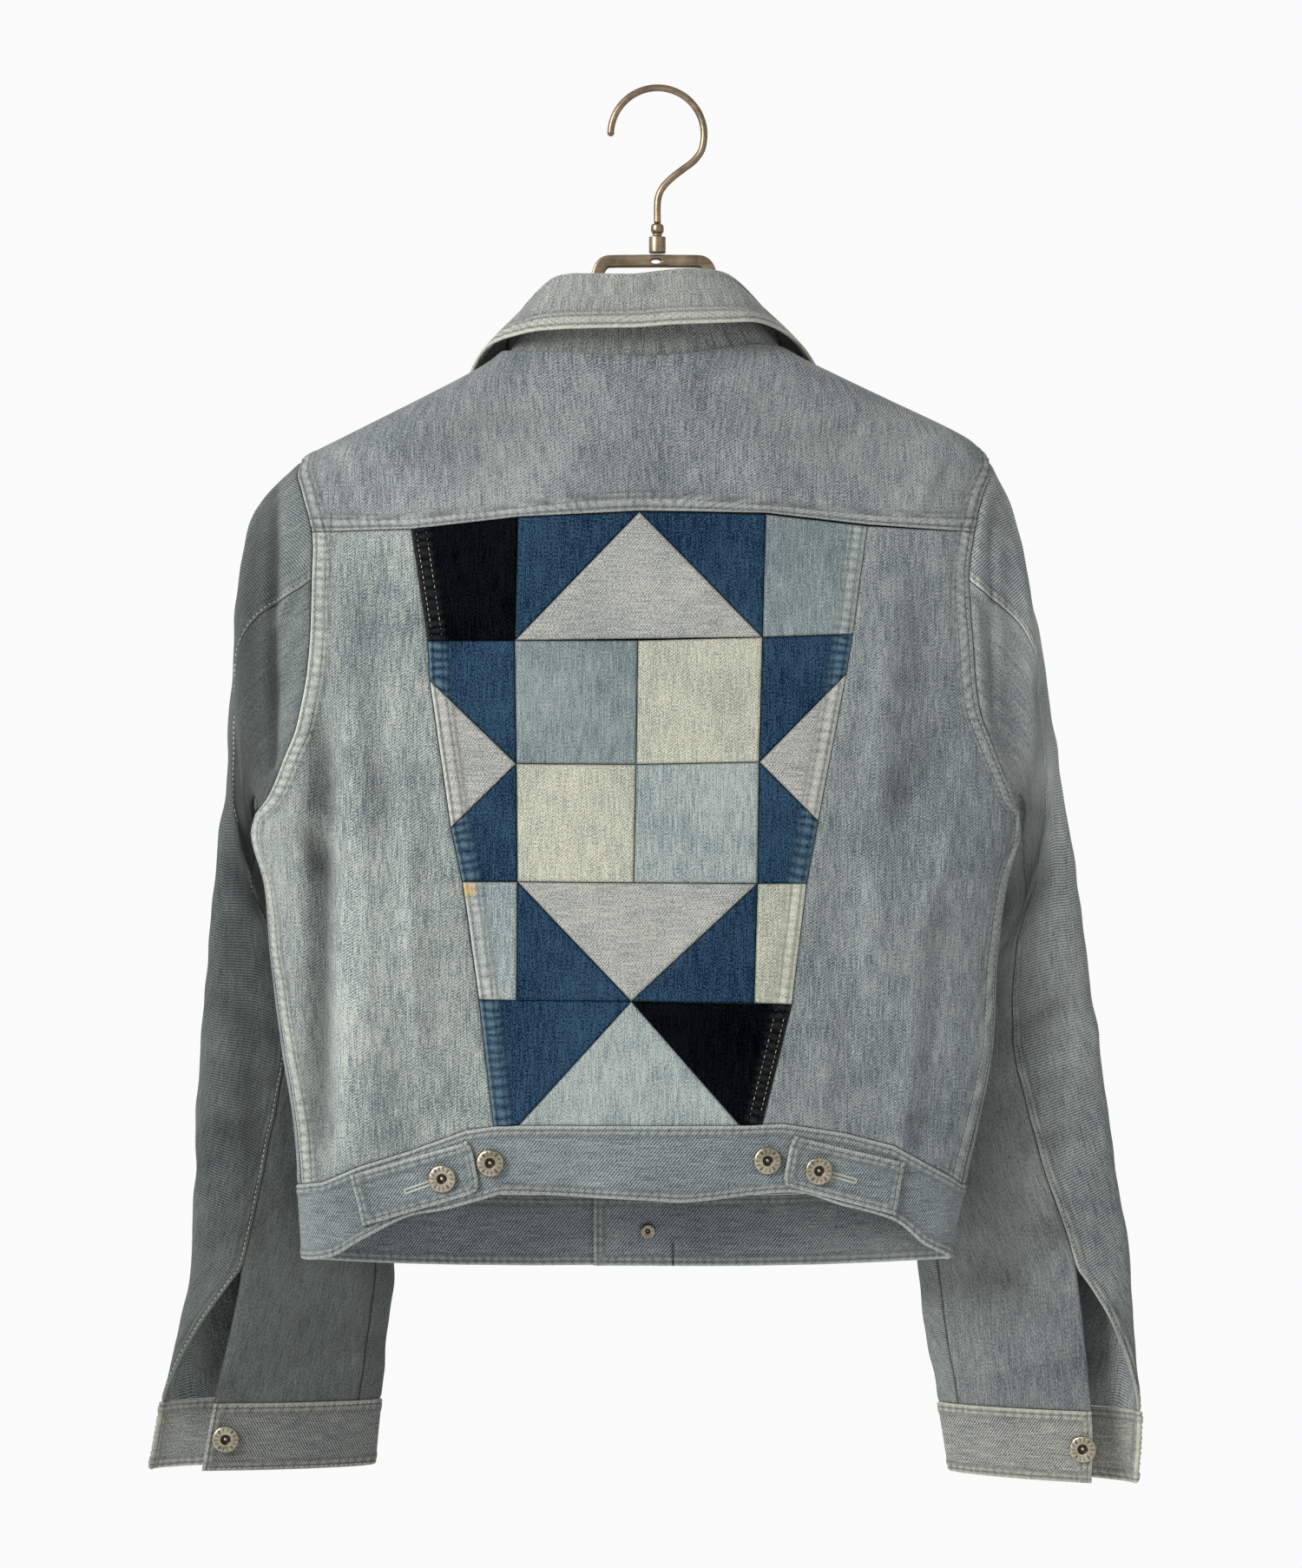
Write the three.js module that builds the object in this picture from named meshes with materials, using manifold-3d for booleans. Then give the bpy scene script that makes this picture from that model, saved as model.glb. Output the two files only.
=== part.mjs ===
// Patchwork denim jacket, buttoned and hung on a metal hanger, seen from the back along +Y.
// Millimetres, +Z up, +X to the right of the back view. The origin is the inside top of the hook,
// where a rail carries it. Left and right are those of the back view.
import * as THREE from 'three';
import { mergeVertices } from 'three/addons/utils/BufferGeometryUtils.js';
import Module from 'manifold-3d';

const wasm = await Module();
wasm.setup();

// ---- driving dimensions ----
const JACKET_X = -11; // the jacket's middle hangs beside the hook
const SEAM = 0.3; // gap between two pieces at a seam
const CLOTH = 1.5; // one layer of denim
const DOUBLE = 3; // waistband and cuff, two layers and what is turned in
const COLLAR = 2.6;
const PANEL_ROUND = 0.7; // under 1 flattens the front and back of every section
const SIDE_SEAM = 1.4; // angle from the centre back to the side seam
const SHOULDER_SEAM = Math.PI / 2 + 0.28; // the yoke wraps this far over the shoulder
const BAND_LIFT = 1; // waistband and cuffs stand this far proud of the panels
const OVERLAP_LIFT = 3.8; // outer front over inner front
const BUTTON_RADIUS = 8.5;

// Half widths of the body to the left and right of the jacket's middle, by height.
const SIDES = [
  [-160, 83, 90], [-171, 99, 112], [-192, 139, 156], [-214, 183, 201], [-225, 204, 213],
  [-235, 215, 219], [-250, 226, 223], [-300, 239, 236], [-360, 243, 240], [-410, 240, 238],
  [-440, 236, 234], [-460, 240, 235], [-490, 232, 227], [-536, 228, 221], [-592, 221, 218],
  [-636, 214, 210], [-675, 211, 201], [-722, 208, 191], [-740, 207, 189],
];
// Depth behind and in front of the shoulder line, by height.
const DEPTHS = [
  [-160, 31, 31], [-171, 35, 34], [-192, 39, 38], [-225, 43, 41], [-300, 45, 43],
  [-450, 43, 41], [-600, 38, 37], [-722, 34, 35], [-740, 34, 35],
];
// Armhole seams, as height and distance from the jacket's middle.
const ARMHOLES = {
  left: {
    back: [
      [-229, 208.5], [-238, 211], [-248, 208], [-274, 201], [-302, 201], [-354, 203],
      [-392, 210], [-415, 219], [-433, 227], [-446, 234],
    ],
    front: [
      [-229, 208.5], [-238, 208], [-252, 204], [-274, 198], [-302, 195], [-350, 196],
      [-390, 203], [-412, 212], [-430, 222], [-446, 234],
    ],
  },
  right: {
    back: [
      [-229, 215.5], [-238, 216], [-250, 211], [-275, 205], [-305, 202], [-338, 204],
      [-381, 208], [-406, 217], [-430, 227], [-446, 232],
    ],
    front: [
      [-229, 215.5], [-238, 213], [-252, 208], [-274, 202], [-302, 198], [-350, 199],
      [-390, 204], [-412, 212], [-430, 221], [-446, 232],
    ],
  },
};
const ARM_TOP = -229;
const ARM_BOTTOM = -446;
const YOKE_ANGLE = 0.946; // where the yoke's lower seam meets the armhole, round the armhole
const UNDERARM = 3.0; // where the side seam meets it
const UNDERARM_TURN = [2.75, 3.6]; // the armhole's round lower end

// Sleeve sections below the armhole: the outer point, the inner point, half the thickness, and how
// far the back leans outward. Distances are outward from the jacket's middle, then forward, then up.
const SLEEVES = {
  left: [
    [[238, 2, -262], [238, 13, -440], 27, 0.22], [[246, 8, -320], [239, 32, -468], 26, 0.3],
    [[254, 14, -390], [232, 54, -516], 25, 0.3], [[263, 20, -470], [192, 72, -577], 23, 0.15],
    [[271, 25, -550], [166, 78, -630], 21, 0], [[277, 28, -645], [158, 80, -690], 19, 0],
    [[281, 32, -727], [157, 80, -745], 18, 0], [[299, 36, -815], [165, 76, -818], 16, 0],
    [[307, 38, -858], [169, 74, -860], 15, 0],
  ],
  right: [
    [[231, 2, -262], [235, 13, -440], 27, 0.22], [[243, 8, -320], [237, 32, -468], 26, 0.3],
    [[256, 14, -390], [232, 54, -516], 25, 0.3], [[270, 20, -470], [200, 72, -577], 23, 0.15],
    [[281, 25, -550], [182, 78, -630], 21, 0], [[294, 28, -645], [177, 80, -690], 19, 0],
    [[306, 32, -727], [178, 80, -745], 18, 0], [[313, 36, -821], [190, 76, -820], 16, 0],
    [[311, 38, -867], [197, 74, -864], 15, 0],
  ],
};
const SLEEVE_CLEARANCE = 4; // kept between the body and a sleeve hanging in front of it
const SLEEVE_FULLNESS = 7; // more room for the layer that is further from the body
const VENT_RING = 7; // the sleeve's back seam opens from here to the cuff
const CUFF_RING = 8;
const HEM_RING = 9;
const ARM_SEAM = 0.07; // the sleeve starts this share of a section outside the armhole
const SLEEVE_ROWS = [ARM_SEAM, 0.5, 1, 1.4, 1.8, 2.2, 2.7, 3.4, 4.2, 5, 6, 7, 7.5, CUFF_RING];
// Places of the two sleeve seams round each section, from the armhole down.
const BACK_SEAM = [1.25, 1.38, 1.45, 1.5, 1.48, 1.42, 1.2, 0.97, 0.96, 0.96];
const UNDER_SEAM = [3.0, 2.9, 2.75, 2.6, 2.5, 2.45, 2.42, 2.42, 2.44, 2.44];
// The armhole's own steps: yoke, back and front share them with the sleeve pieces.
const YOKE_STEPS = [-0.35, -0.1, 0.15, 0.4, 0.68, YOKE_ANGLE];
const BACK_STEPS = [YOKE_ANGLE, 1.25, 1.5, 1.75, 2.0, 2.25, 2.5, 2.75, UNDERARM];
const FRONT_STEPS = [UNDERARM, Math.PI, 3.35, 3.6, 3.85, 4.15, 4.5, 4.85, 5.2, 5.55, 2 * Math.PI - 0.35];

// Back seams, as distance from the jacket's middle and height.
const YOKE_HEM = [
  [-201, -274], [-139, -273], [-74, -266], [0, -262.5], [77, -264], [139, -271], [205, -275],
];
const BAND_TOP = [
  [-195, -673], [-172, -663], [-141, -653], [-106, -640], [-89, -637.5], [-74, -637],
  [61.5, -637], [75, -636.5], [88, -636], [126, -642], [156, -650], [179, -663], [190, -669],
];
const BAND_BOTTOM = [
  [-208, -722], [-190, -719], [-169, -707], [-141, -693], [-120, -689], [-95, -682], [-82, -679],
  [8, -683], [28, -684], [94, -678], [123, -686], [156, -696], [176, -712], [191, -722],
];
const SIDE_BAND_TOP = -675;
const PATCH_LEFT = [
  [-139, -273], [-129, -341], [-128, -365], [-115, -455], [-108, -488], [-98, -560], [-89, -637.5],
];
const PATCH_RIGHT = [
  [139, -271], [130, -337], [126, -361], [109, -451], [102, -489], [93, -563], [75, -636.5],
];
// Inner corners of the patchwork, row by row: left column, middle, right column.
const ROWS = [
  [[-74, -266], [0, -262.5], [77, -264]],
  [[-76, -341], [-1, -341], [75, -339]],
  [[-75, -416], [-2, -416.5], [73, -415]],
  [[-74.5, -488], [-3.5, -488.5], [72, -489]],
  [[-75, -560.5], [-5, -561], [70, -562]],
  [[-74, -637], [-6, -637], [61.5, -637]],
];
const NECK_SIDE = -163.5; // height of the neckline at the shoulder seams
const NECK_BACK = [[-70, -162], [-47, -164], [-22, -165.5], [2, -166], [26, -164.5], [50, -160.5], [72, -158]];
const NECK_FRONT = [[87, -163.5], [83, -172], [76, -185], [66, -199], [54, -212], [38, -226], [22, -235]];
const NECK_LOW = -240; // centre front
const FRONT_MIDDLE = 5;
const PLACKET = 34; // each front passes the middle by this much
const FRONT_EDGE = [6, -14, -PLACKET]; // the last steps to each front's edge, from the buttons' line
const FRONT_SIDES = [1.4, 1.66, 1.92, 2.18, 2.44, 2.69, 2.91]; // angles from side to front
const BUTTON_HEIGHTS = [-262, -345, -428, -511, -594, -708];

// The tabs lie on the waistband, each given by its corners, clockwise from the upper left.
const TAB = 2.2;
const TAB_GAP = 0.9;
const TABS = {
  left: [[-177, -668], [-103, -646], [-97, -677], [-169, -699]],
  right: [[93, -643], [162, -660], [156, -692], [87, -673]],
};
const TAB_BUTTONS = { left: [-120, -669], right: [109, -664] };
const BAND_BUTTONS = { left: [-91, -659.5], right: [78, -658] };
const CUFF_BUTTONS = { left: 1.14, right: 1.07 }; // angle round the cuff
// A shank button, as radius and height: a dished cap with a raised rim over a short stem.
const BUTTON_PROFILE = [
  [0, 0], [4, 0], [4, 1], [BUTTON_RADIUS - 0.3, 1.4], [BUTTON_RADIUS, 2.9], [7.2, 3.6], [5, 2.4], [0, 2.4],
];

// Fold and edge beside each place on the neckline, from the centre back round to the front.
// Each row: share of the way round, fold (out from the middle, forward, up), leaf edge the same.
const COLLAR_PLACES = {
  left: [
    [0, 0, -31, -117.5, 0, -52, -152], [0.2, -33, -29, -117.5, -34, -50, -152.5],
    [0.36, -50, -22, -119, -60, -42, -153], [0.46, -62, -11, -127, -83, -26, -156],
    [0.54, -77, 4, -145, -98, 8, -163], [0.64, -80, 22, -160, -112, 34, -190],
    [0.76, -66, 38, -186, -110, 50, -226], [0.88, -40, 46, -210, -90, 57, -264],
    [1, -6, 50, -231, -62, 58, -292],
  ],
  right: [
    [0, 0, -31, -117.5, 0, -52, -152], [0.2, 33, -29, -115, 36, -50, -149],
    [0.36, 52, -22, -116.5, 66, -42, -147.5], [0.46, 65, -11, -126, 84, -26, -150],
    [0.54, 80, 4, -143, 102, 8, -160], [0.64, 86, 22, -158, 118, 34, -188],
    [0.76, 74, 38, -184, 118, 50, -224], [0.88, 50, 46, -208, 100, 57, -262],
    [1, 14, 50, -229, 72, 58, -290],
  ],
};
const COLLAR_GAP = 1;

const WIRE = 2.2; // radius of the hook's wire
const HOOK_RADIUS = 28.9;
const HOOK_CENTRE = -HOOK_RADIUS + WIRE;
const SHANK = [[27, -37], [22.5, -43], [16, -48], [9.5, -53], [4, -58.5], [1, -64], [0, -70], [0, -81.5]];
const FERRULE_PROFILE = [
  [0, -81.8], [2.6, -81.8], [4, -83.6], [4, -86.6], [2.9, -88.4], [3.4, -89.6], [5.25, -90.2],
  [5.25, -99.4], [4.6, -100.4], [0, -100.4],
];
// Half of the frame, from the middle out: place in the hanger's plane, height and depth of the bar.
const FRAME_HALF = [
  [24, -105.2, 8, 4], [29, -105.8, 8, 4], [32, -108.5, 8, 4.2], [34, -113, 7.6, 4.6],
  [36.5, -119, 7.4, 5], [42, -134, 7.4, 6], [50, -152, 7.6, 7], [62, -166, 8, 8],
  [78, -176, 9, 9], [100, -187, 9, 10], [140, -207, 9, 11], [178, -226, 9, 11], [186, -231, 6, 8],
];
const FRAME_LEAN = [3, 1]; // the frame's middle stands this far left of the hook, by half

const COLOURS = {
  denim: 0x93998f, sleeve: 0x757b76, indigo: 0x33506b, black: 0x10151a, grey: 0xaaaba0,
  sky: 0x929c98, cream: 0xbcbcac, metal: 0x8b7d6b, button: 0x8a8478,
};

// ---- curves and sections ----
// A smooth curve through a list of [position, value, ...] rows in steadily changing position.
function smooth(rows) {
  const down = rows[0][0] > rows[rows.length - 1][0] ? -1 : 1;
  const slope = (i, k) => {
    const a = Math.max(i - 1, 0);
    const b = Math.min(i + 1, rows.length - 1);
    return (rows[b][k] - rows[a][k]) / (rows[b][0] - rows[a][0]);
  };
  return (at, k = 1) => {
    let i = 0;
    while (i < rows.length - 2 && (at - rows[i + 1][0]) * down > 0) i += 1;
    const span = rows[i + 1][0] - rows[i][0];
    const t = THREE.MathUtils.clamp((at - rows[i][0]) / span, 0, 1);
    const [a, b] = [rows[i][k], rows[i + 1][k]];
    const [da, db] = [slope(i, k) * span, slope(i + 1, k) * span];
    return a * (1 + 2 * t) * (1 - t) ** 2 + da * t * (1 - t) ** 2
      + b * t * t * (3 - 2 * t) - db * t * t * (1 - t);
  };
}

const sides = smooth(SIDES);
const depths = smooth(DEPTHS);
const bump = (distance, width) => Math.exp(-((distance / width) ** 2));
const window = (at, low, high, fade) => THREE.MathUtils.smoothstep(at, low - fade, low + fade)
  * (1 - THREE.MathUtils.smoothstep(at, high - fade, high + fade));

// The body: one section for each height, by angle from the centre back, half a turn either way.
function bodyPoint(angle, z) {
  const half = (sides(z, 1) + sides(z, 2)) / 2;
  const middle = (sides(z, 2) - sides(z, 1)) / 2;
  const x = middle + half * Math.sin(angle);
  const c = Math.cos(angle);
  let y = -depths(z, c > 0 ? 1 : 2) * Math.sign(c) * Math.abs(c) ** PANEL_ROUND;
  if (c > 0) {
    const long = window(z, -650, -390, 30);
    y += long * (5 * bump(x + 196 - (z + 520) * 0.02, 9) - 3 * bump(x + 181, 9));
  }
  return new THREE.Vector3(x + JACKET_X, y, z);
}

function bodyNormal(angle, z) {
  const step = 0.01;
  const round = bodyPoint(angle + step, z).sub(bodyPoint(angle - step, z));
  const up = bodyPoint(angle, z + 1).sub(bodyPoint(angle, z - 1));
  return round.cross(up).normalize();
}

// The angle of a place given by its distance from the jacket's middle.
function backAngle(x, z) {
  const half = (sides(z, 1) + sides(z, 2)) / 2;
  const middle = (sides(z, 2) - sides(z, 1)) / 2;
  return Math.asin(THREE.MathUtils.clamp((x - middle) / half, -1, 1));
}
const frontAngle = (x, z, side) => side * Math.PI - backAngle(x, z);

// ---- cloth solids ----
// A closed sheet from a grid of points, their outward directions, a thickness and a lift.
function sheetGeometry(points, normals, thickness, lift = 0) {
  const positions = [];
  const faces = [];
  const seen = new Map();
  const place = (p) => {
    const key = [p.x, p.y, p.z].map((v) => Math.round(v * 1e3)).join();
    if (!seen.has(key)) {
      seen.set(key, positions.length / 3);
      positions.push(p.x, p.y, p.z);
    }
    return seen.get(key);
  };
  const layer = (height) => points.map((row, i) => row.map(
    (p, j) => place(p.clone().addScaledVector(normals[i][j], height)),
  ));
  const outer = layer(lift);
  const inner = layer(lift - thickness);
  const face = (a, b, c) => {
    if (a !== b && b !== c && a !== c) faces.push([a, b, c]);
  };
  const quad = (a, b, c, d) => {
    face(a, b, c);
    face(a, c, d);
  };
  const [rows, columns] = [points.length - 1, points[0].length - 1];
  for (let i = 0; i < rows; i += 1) {
    for (let j = 0; j < columns; j += 1) {
      quad(outer[i][j], outer[i][j + 1], outer[i + 1][j + 1], outer[i + 1][j]);
      quad(inner[i][j], inner[i + 1][j], inner[i + 1][j + 1], inner[i][j + 1]);
    }
  }
  for (let j = 0; j < columns; j += 1) {
    quad(outer[0][j], inner[0][j], inner[0][j + 1], outer[0][j + 1]);
    quad(outer[rows][j + 1], inner[rows][j + 1], inner[rows][j], outer[rows][j]);
  }
  for (let i = 0; i < rows; i += 1) {
    quad(outer[i + 1][0], inner[i + 1][0], inner[i][0], outer[i][0]);
    quad(outer[i][columns], inner[i][columns], inner[i + 1][columns], outer[i + 1][columns]);
  }
  return outwardGeometry(positions, faces);
}

function outwardGeometry(positions, faces) {
  const v = (i) => new THREE.Vector3().fromArray(positions, i * 3);
  let volume = 0;
  faces.forEach(([a, b, c]) => { volume += v(a).dot(v(b).cross(v(c))); });
  const geometry = new THREE.BufferGeometry();
  geometry.setAttribute('position', new THREE.Float32BufferAttribute(positions, 3));
  geometry.setIndex(faces.flatMap(([a, b, c]) => (volume > 0 ? [a, b, c] : [a, c, b])));
  geometry.computeVertexNormals();
  return geometry;
}

// Draws a grid's open edges in by half a seam. kept names edges that stay: top, bottom, first, last.
function seamed(points, kept = [], half = SEAM / 2) {
  const [rows, columns] = [points.length - 1, points[0].length - 1];
  const towards = (a, b) => points[b[0]][b[1]].clone().sub(points[a[0]][a[1]]).normalize();
  return points.map((row, i) => row.map((p, j) => {
    const di = i === 0 && !kept.includes('bottom') ? 1 : (i === rows && !kept.includes('top') ? -1 : 0);
    const dj = j === 0 && !kept.includes('first') ? 1 : (j === columns && !kept.includes('last') ? -1 : 0);
    if (!di && !dj) return p.clone();
    if (di && dj) {
      const a = towards([i, j], [i + di, j]);
      const b = towards([i, j], [i, j + dj]);
      return p.clone().addScaledVector(a.clone().add(b), half / Math.sqrt(1 - a.dot(b) ** 2));
    }
    const inward = towards([i, j], [i + di, j + dj]);
    const along = di ? towards([i, Math.max(j - 1, 0)], [i, Math.min(j + 1, columns)])
      : towards([Math.max(i - 1, 0), j], [Math.min(i + 1, rows), j]);
    inward.addScaledVector(along, -inward.dot(along)).normalize();
    return p.clone().addScaledVector(inward, half);
  }));
}

// A panel of the body from its four edges, each a list of [angle, height, lift].
function bodyPanel([bottom, top, first, last], inset = SEAM / 2) {
  const [columns, rows] = [bottom.length - 1, first.length - 1];
  const grid = first.map((_, i) => bottom.map((__, j) => {
    const [u, v] = [j / columns, i / rows];
    return [0, 1, 2].map((k) => {
      const across = (1 - v) * (bottom[j][k] ?? 0) + v * (top[j][k] ?? 0);
      const up = (1 - u) * (first[i][k] ?? 0) + u * (last[i][k] ?? 0);
      const corners = (1 - u) * (1 - v) * (bottom[0][k] ?? 0) + u * (1 - v) * (bottom[columns][k] ?? 0)
        + (1 - u) * v * (top[0][k] ?? 0) + u * v * (top[columns][k] ?? 0);
      return across + up - corners;
    });
  }));
  const normals = grid.map((row) => row.map(([angle, z]) => bodyNormal(angle, z)));
  const points = grid.map((row, i) => row.map(
    ([angle, z, lift], j) => bodyPoint(angle, z).addScaledVector(normals[i][j], lift),
  ));
  return sheetGeometry(seamed(points, [], inset), normals, CLOTH);
}

// Points along a line of straight stretches, each cut into steps no longer than size.
function steps(line, size) {
  const out = [line[0]];
  for (let i = 1; i < line.length; i += 1) {
    const [a, b] = [line[i - 1], line[i]];
    const n = Math.max(1, Math.round(Math.hypot(b[0] - a[0], b[1] - a[1]) / size));
    for (let k = 1; k <= n; k += 1) out.push(a.map((v, axis) => v + (b[axis] - v) * k / n));
  }
  return out;
}
// n + 1 points spread evenly along a line of straight stretches.
function spread(line, n) {
  const lengths = line.slice(1).map((p, i) => Math.hypot(p[0] - line[i][0], p[1] - line[i][1]));
  const total = lengths.reduce((a, b) => a + b, 0);
  return Array.from({ length: n + 1 }, (_, k) => {
    let left = total * k / n;
    let i = 0;
    while (i < lengths.length - 1 && left > lengths[i]) left -= lengths[i++];
    const t = Math.min(left / lengths[i], 1);
    return line[i].map((v, axis) => v + (line[i + 1][axis] - v) * t);
  });
}
// The same line with its longest stretches halved until it has n + 1 points, keeping every corner.
function refined(line, n) {
  const size = (a, b) => Math.hypot(a[0] - b[0], a[1] - b[1]);
  const out = line.map((p) => [...p]);
  while (out.length < n + 1) {
    let at = 1;
    for (let i = 2; i < out.length; i += 1) {
      if (size(out[i], out[i - 1]) > size(out[at], out[at - 1]) * 1.001) at = i;
    }
    out.splice(at, 0, out[at].map((v, k) => (v + out[at - 1][k]) / 2));
  }
  return out;
}
const onBack = (line) => line.map(([x, z]) => [backAngle(x, z), z]);

// A place on the armhole seam as [angle, height], by angle round the armhole from its top.
const armholes = Object.fromEntries(Object.entries(ARMHOLES).map(
  ([name, { back, front }]) => [name, { back: smooth(back), front: smooth(front) }],
));
function armholePlace(name, round) {
  const side = name === 'left' ? -1 : 1;
  const turn = ((round % (2 * Math.PI)) + 2 * Math.PI) % (2 * Math.PI);
  const z = (ARM_TOP + ARM_BOTTOM) / 2 + (ARM_TOP - ARM_BOTTOM) / 2 * Math.cos(turn);
  const [from, to] = UNDERARM_TURN;
  if (turn > from + 1e-6 && turn < to - 1e-6) {
    const ends = [armholePlace(name, from)[0], armholePlace(name, to)[0]];
    return [THREE.MathUtils.mapLinear(turn, from, to, ...ends), z];
  }
  const behind = turn <= Math.PI;
  const x = side * armholes[name][behind ? 'back' : 'front'](z);
  return [behind ? backAngle(x, z) : frontAngle(x, z, side), z];
}
const armholeLine = (name, turns) => turns.map((turn) => armholePlace(name, turn));

// ---- the back ----
const pieces = [];
const cloth = (name, geometry, colour) => {
  pieces.push({ name, geometry, colour, roughness: 0.9, metalness: 0 });
};
const metal = (name, geometry, colour) => {
  pieces.push({ name, geometry, colour, roughness: 0.4, metalness: 0.9 });
};

const neckSide = (side) => [side * SHOULDER_SEAM, NECK_SIDE];
function backNeck() {
  const line = [neckSide(-1), [-1.45, -161]];
  NECK_BACK.forEach(([x, z]) => line.push([backAngle(x, z), z]));
  line.push([1.45, -159], neckSide(1));
  return line;
}
const shoulderTip = (side) => armholePlace(side < 0 ? 'left' : 'right', -0.35);
const shoulderSeam = (side) => spread([neckSide(side), shoulderTip(side)], 6);

function addYoke() {
  const left = armholeLine('left', YOKE_STEPS).reverse();
  const right = armholeLine('right', YOKE_STEPS).reverse();
  const top = [...shoulderSeam(-1).reverse(), ...backNeck().slice(1), ...shoulderSeam(1).slice(1)];
  const middle = [YOKE_HEM[2], YOKE_HEM[3], YOKE_HEM[4]];
  const hem = [
    ...refined(YOKE_HEM.slice(0, 3), 6),
    ...steps(middle, 15.2).slice(1),
    ...refined(YOKE_HEM.slice(4), 6).slice(1),
  ];
  cloth('back_yoke', bodyPanel([onBack(hem), top, left, right]), 'denim');
}

function addBackSide(name) {
  const side = name === 'left' ? -1 : 1;
  const seam = spread([[side * SIDE_SEAM, SIDE_BAND_TOP], armholePlace(name, UNDERARM)], 7);
  const outer = [...seam.slice(0, -1), ...armholeLine(name, BACK_STEPS).reverse()];
  const inner = onBack(refined([...(side < 0 ? PATCH_LEFT : PATCH_RIGHT)].reverse(), outer.length - 1));
  const hem = side < 0 ? YOKE_HEM.slice(0, 2) : YOKE_HEM.slice(5).reverse();
  const band = side < 0 ? BAND_TOP.slice(0, 5) : BAND_TOP.slice(7).reverse();
  const bottom = [[side * SIDE_SEAM, SIDE_BAND_TOP], ...onBack(steps(band, 16))];
  const top = onBack(spread(hem, bottom.length - 1));
  const edges = side < 0 ? [bottom, top, outer, inner] : [bottom.reverse(), top.reverse(), inner, outer];
  cloth(`back_side_${name}`, bodyPanel(edges), 'denim');
}

// A patch from its three or four corners, given clockwise from the upper left.
function addPatch(name, corners, colour) {
  const inset = corners.map((p, i) => {
    const before = corners[(i + corners.length - 1) % corners.length];
    const after = corners[(i + 1) % corners.length];
    const unit = (q) => {
      const length = Math.hypot(q[0] - p[0], q[1] - p[1]);
      return [(q[0] - p[0]) / length, (q[1] - p[1]) / length];
    };
    const [a, b] = [unit(before), unit(after)];
    const reach = SEAM / 2 / Math.abs(a[0] * b[1] - a[1] * b[0]);
    return [p[0] + (a[0] + b[0]) * reach, p[1] + (a[1] + b[1]) * reach];
  });
  const [a, b, c, d] = inset.length === 4 ? inset : [inset[0], inset[1], inset[2], inset[2]];
  cloth(name, raisedStrip([a, b, c, d], 3, 3, CLOTH, 0), colour);
}

function addPatches() {
  const [L, R, m] = [PATCH_LEFT, PATCH_RIGHT, ROWS];
  addPatch('patch_1a', [L[0], m[0][0], m[1][0], L[1]], 'black');
  addPatch('patch_1b', [m[0][0], m[0][1], m[1][0]], 'indigo');
  addPatch('patch_1c', [m[1][2], m[1][0], m[0][1]], 'grey');
  addPatch('patch_1d', [m[0][1], m[0][2], m[1][2]], 'indigo');
  addPatch('patch_1e', [m[0][2], R[0], R[1], m[1][2]], 'sky');
  addPatch('patch_2a', [L[1], m[1][0], m[2][0], L[2]], 'indigo');
  addPatch('patch_2b', [m[2][0], L[3], L[2]], 'grey');
  addPatch('patch_2c', [m[1][0], m[1][1], m[2][1], m[2][0]], 'sky');
  addPatch('patch_2d', [m[1][1], m[1][2], m[2][2], m[2][1]], 'cream');
  addPatch('patch_2e', [m[1][2], R[1], R[2], m[2][2]], 'indigo');
  addPatch('patch_2f', [R[2], R[3], m[2][2]], 'grey');
  addPatch('patch_3a', [L[3], m[2][0], m[3][0], L[4]], 'indigo');
  addPatch('patch_3b', [m[2][0], m[2][1], m[3][1], m[3][0]], 'cream');
  addPatch('patch_3c', [m[2][1], m[2][2], m[3][2], m[3][1]], 'sky');
  addPatch('patch_3d', [m[2][2], R[3], R[4], m[3][2]], 'indigo');
  addPatch('patch_4a', [L[4], m[3][0], m[4][0], L[5]], 'sky');
  addPatch('patch_4b', [m[3][0], m[4][1], m[4][0]], 'indigo');
  addPatch('patch_4c', [m[3][0], m[3][2], m[4][1]], 'grey');
  addPatch('patch_4d', [m[3][2], m[4][2], m[4][1]], 'indigo');
  addPatch('patch_4e', [m[3][2], R[4], R[5], m[4][2]], 'cream');
  addPatch('patch_5a', [L[5], m[4][1], m[5][0], L[6]], 'indigo');
  addPatch('patch_5b', [m[5][2], m[5][0], m[4][1]], 'sky');
  addPatch('patch_5c', [m[4][1], R[5], R[6], m[5][2]], 'black');
}

// ---- the fronts and the waistband ----
// Each front's lift over the body: the left front is buttoned over the right one.
const frontLift = (angle) => OVERLAP_LIFT * THREE.MathUtils.smoothstep(-angle, 2.35, 2.85);
const lifted = (line) => line.map(([angle, z]) => [angle, z, frontLift(angle)]);
const towardsFront = (angle) => THREE.MathUtils.smoothstep(Math.abs(angle), SIDE_SEAM, 2.9);
const frontBandTop = (angle) => SIDE_BAND_TOP - 11 * towardsFront(angle);
const frontBandBottom = (angle) => -722 - 8 * towardsFront(angle);

// The line where a front meets the waistband, from the side seam to the front's edge.
function frontHem(side) {
  const hem = FRONT_SIDES.map((angle) => [side * angle, frontBandTop(angle)]);
  const z = frontBandTop(Math.PI);
  FRONT_EDGE.forEach((past) => hem.push([frontAngle(FRONT_MIDDLE + side * past, z, side), z]));
  return hem;
}
// The front's neckline from the neck's side to the front's edge. The collar ends short of it.
function frontNeck(side) {
  const line = NECK_FRONT.map(([x, z]) => [frontAngle(side * x, z, side), z]);
  line[0] = neckSide(side);
  FRONT_EDGE.forEach((past) => {
    line.push([frontAngle(FRONT_MIDDLE + side * past, NECK_LOW, side), NECK_LOW]);
  });
  return line;
}

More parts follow.
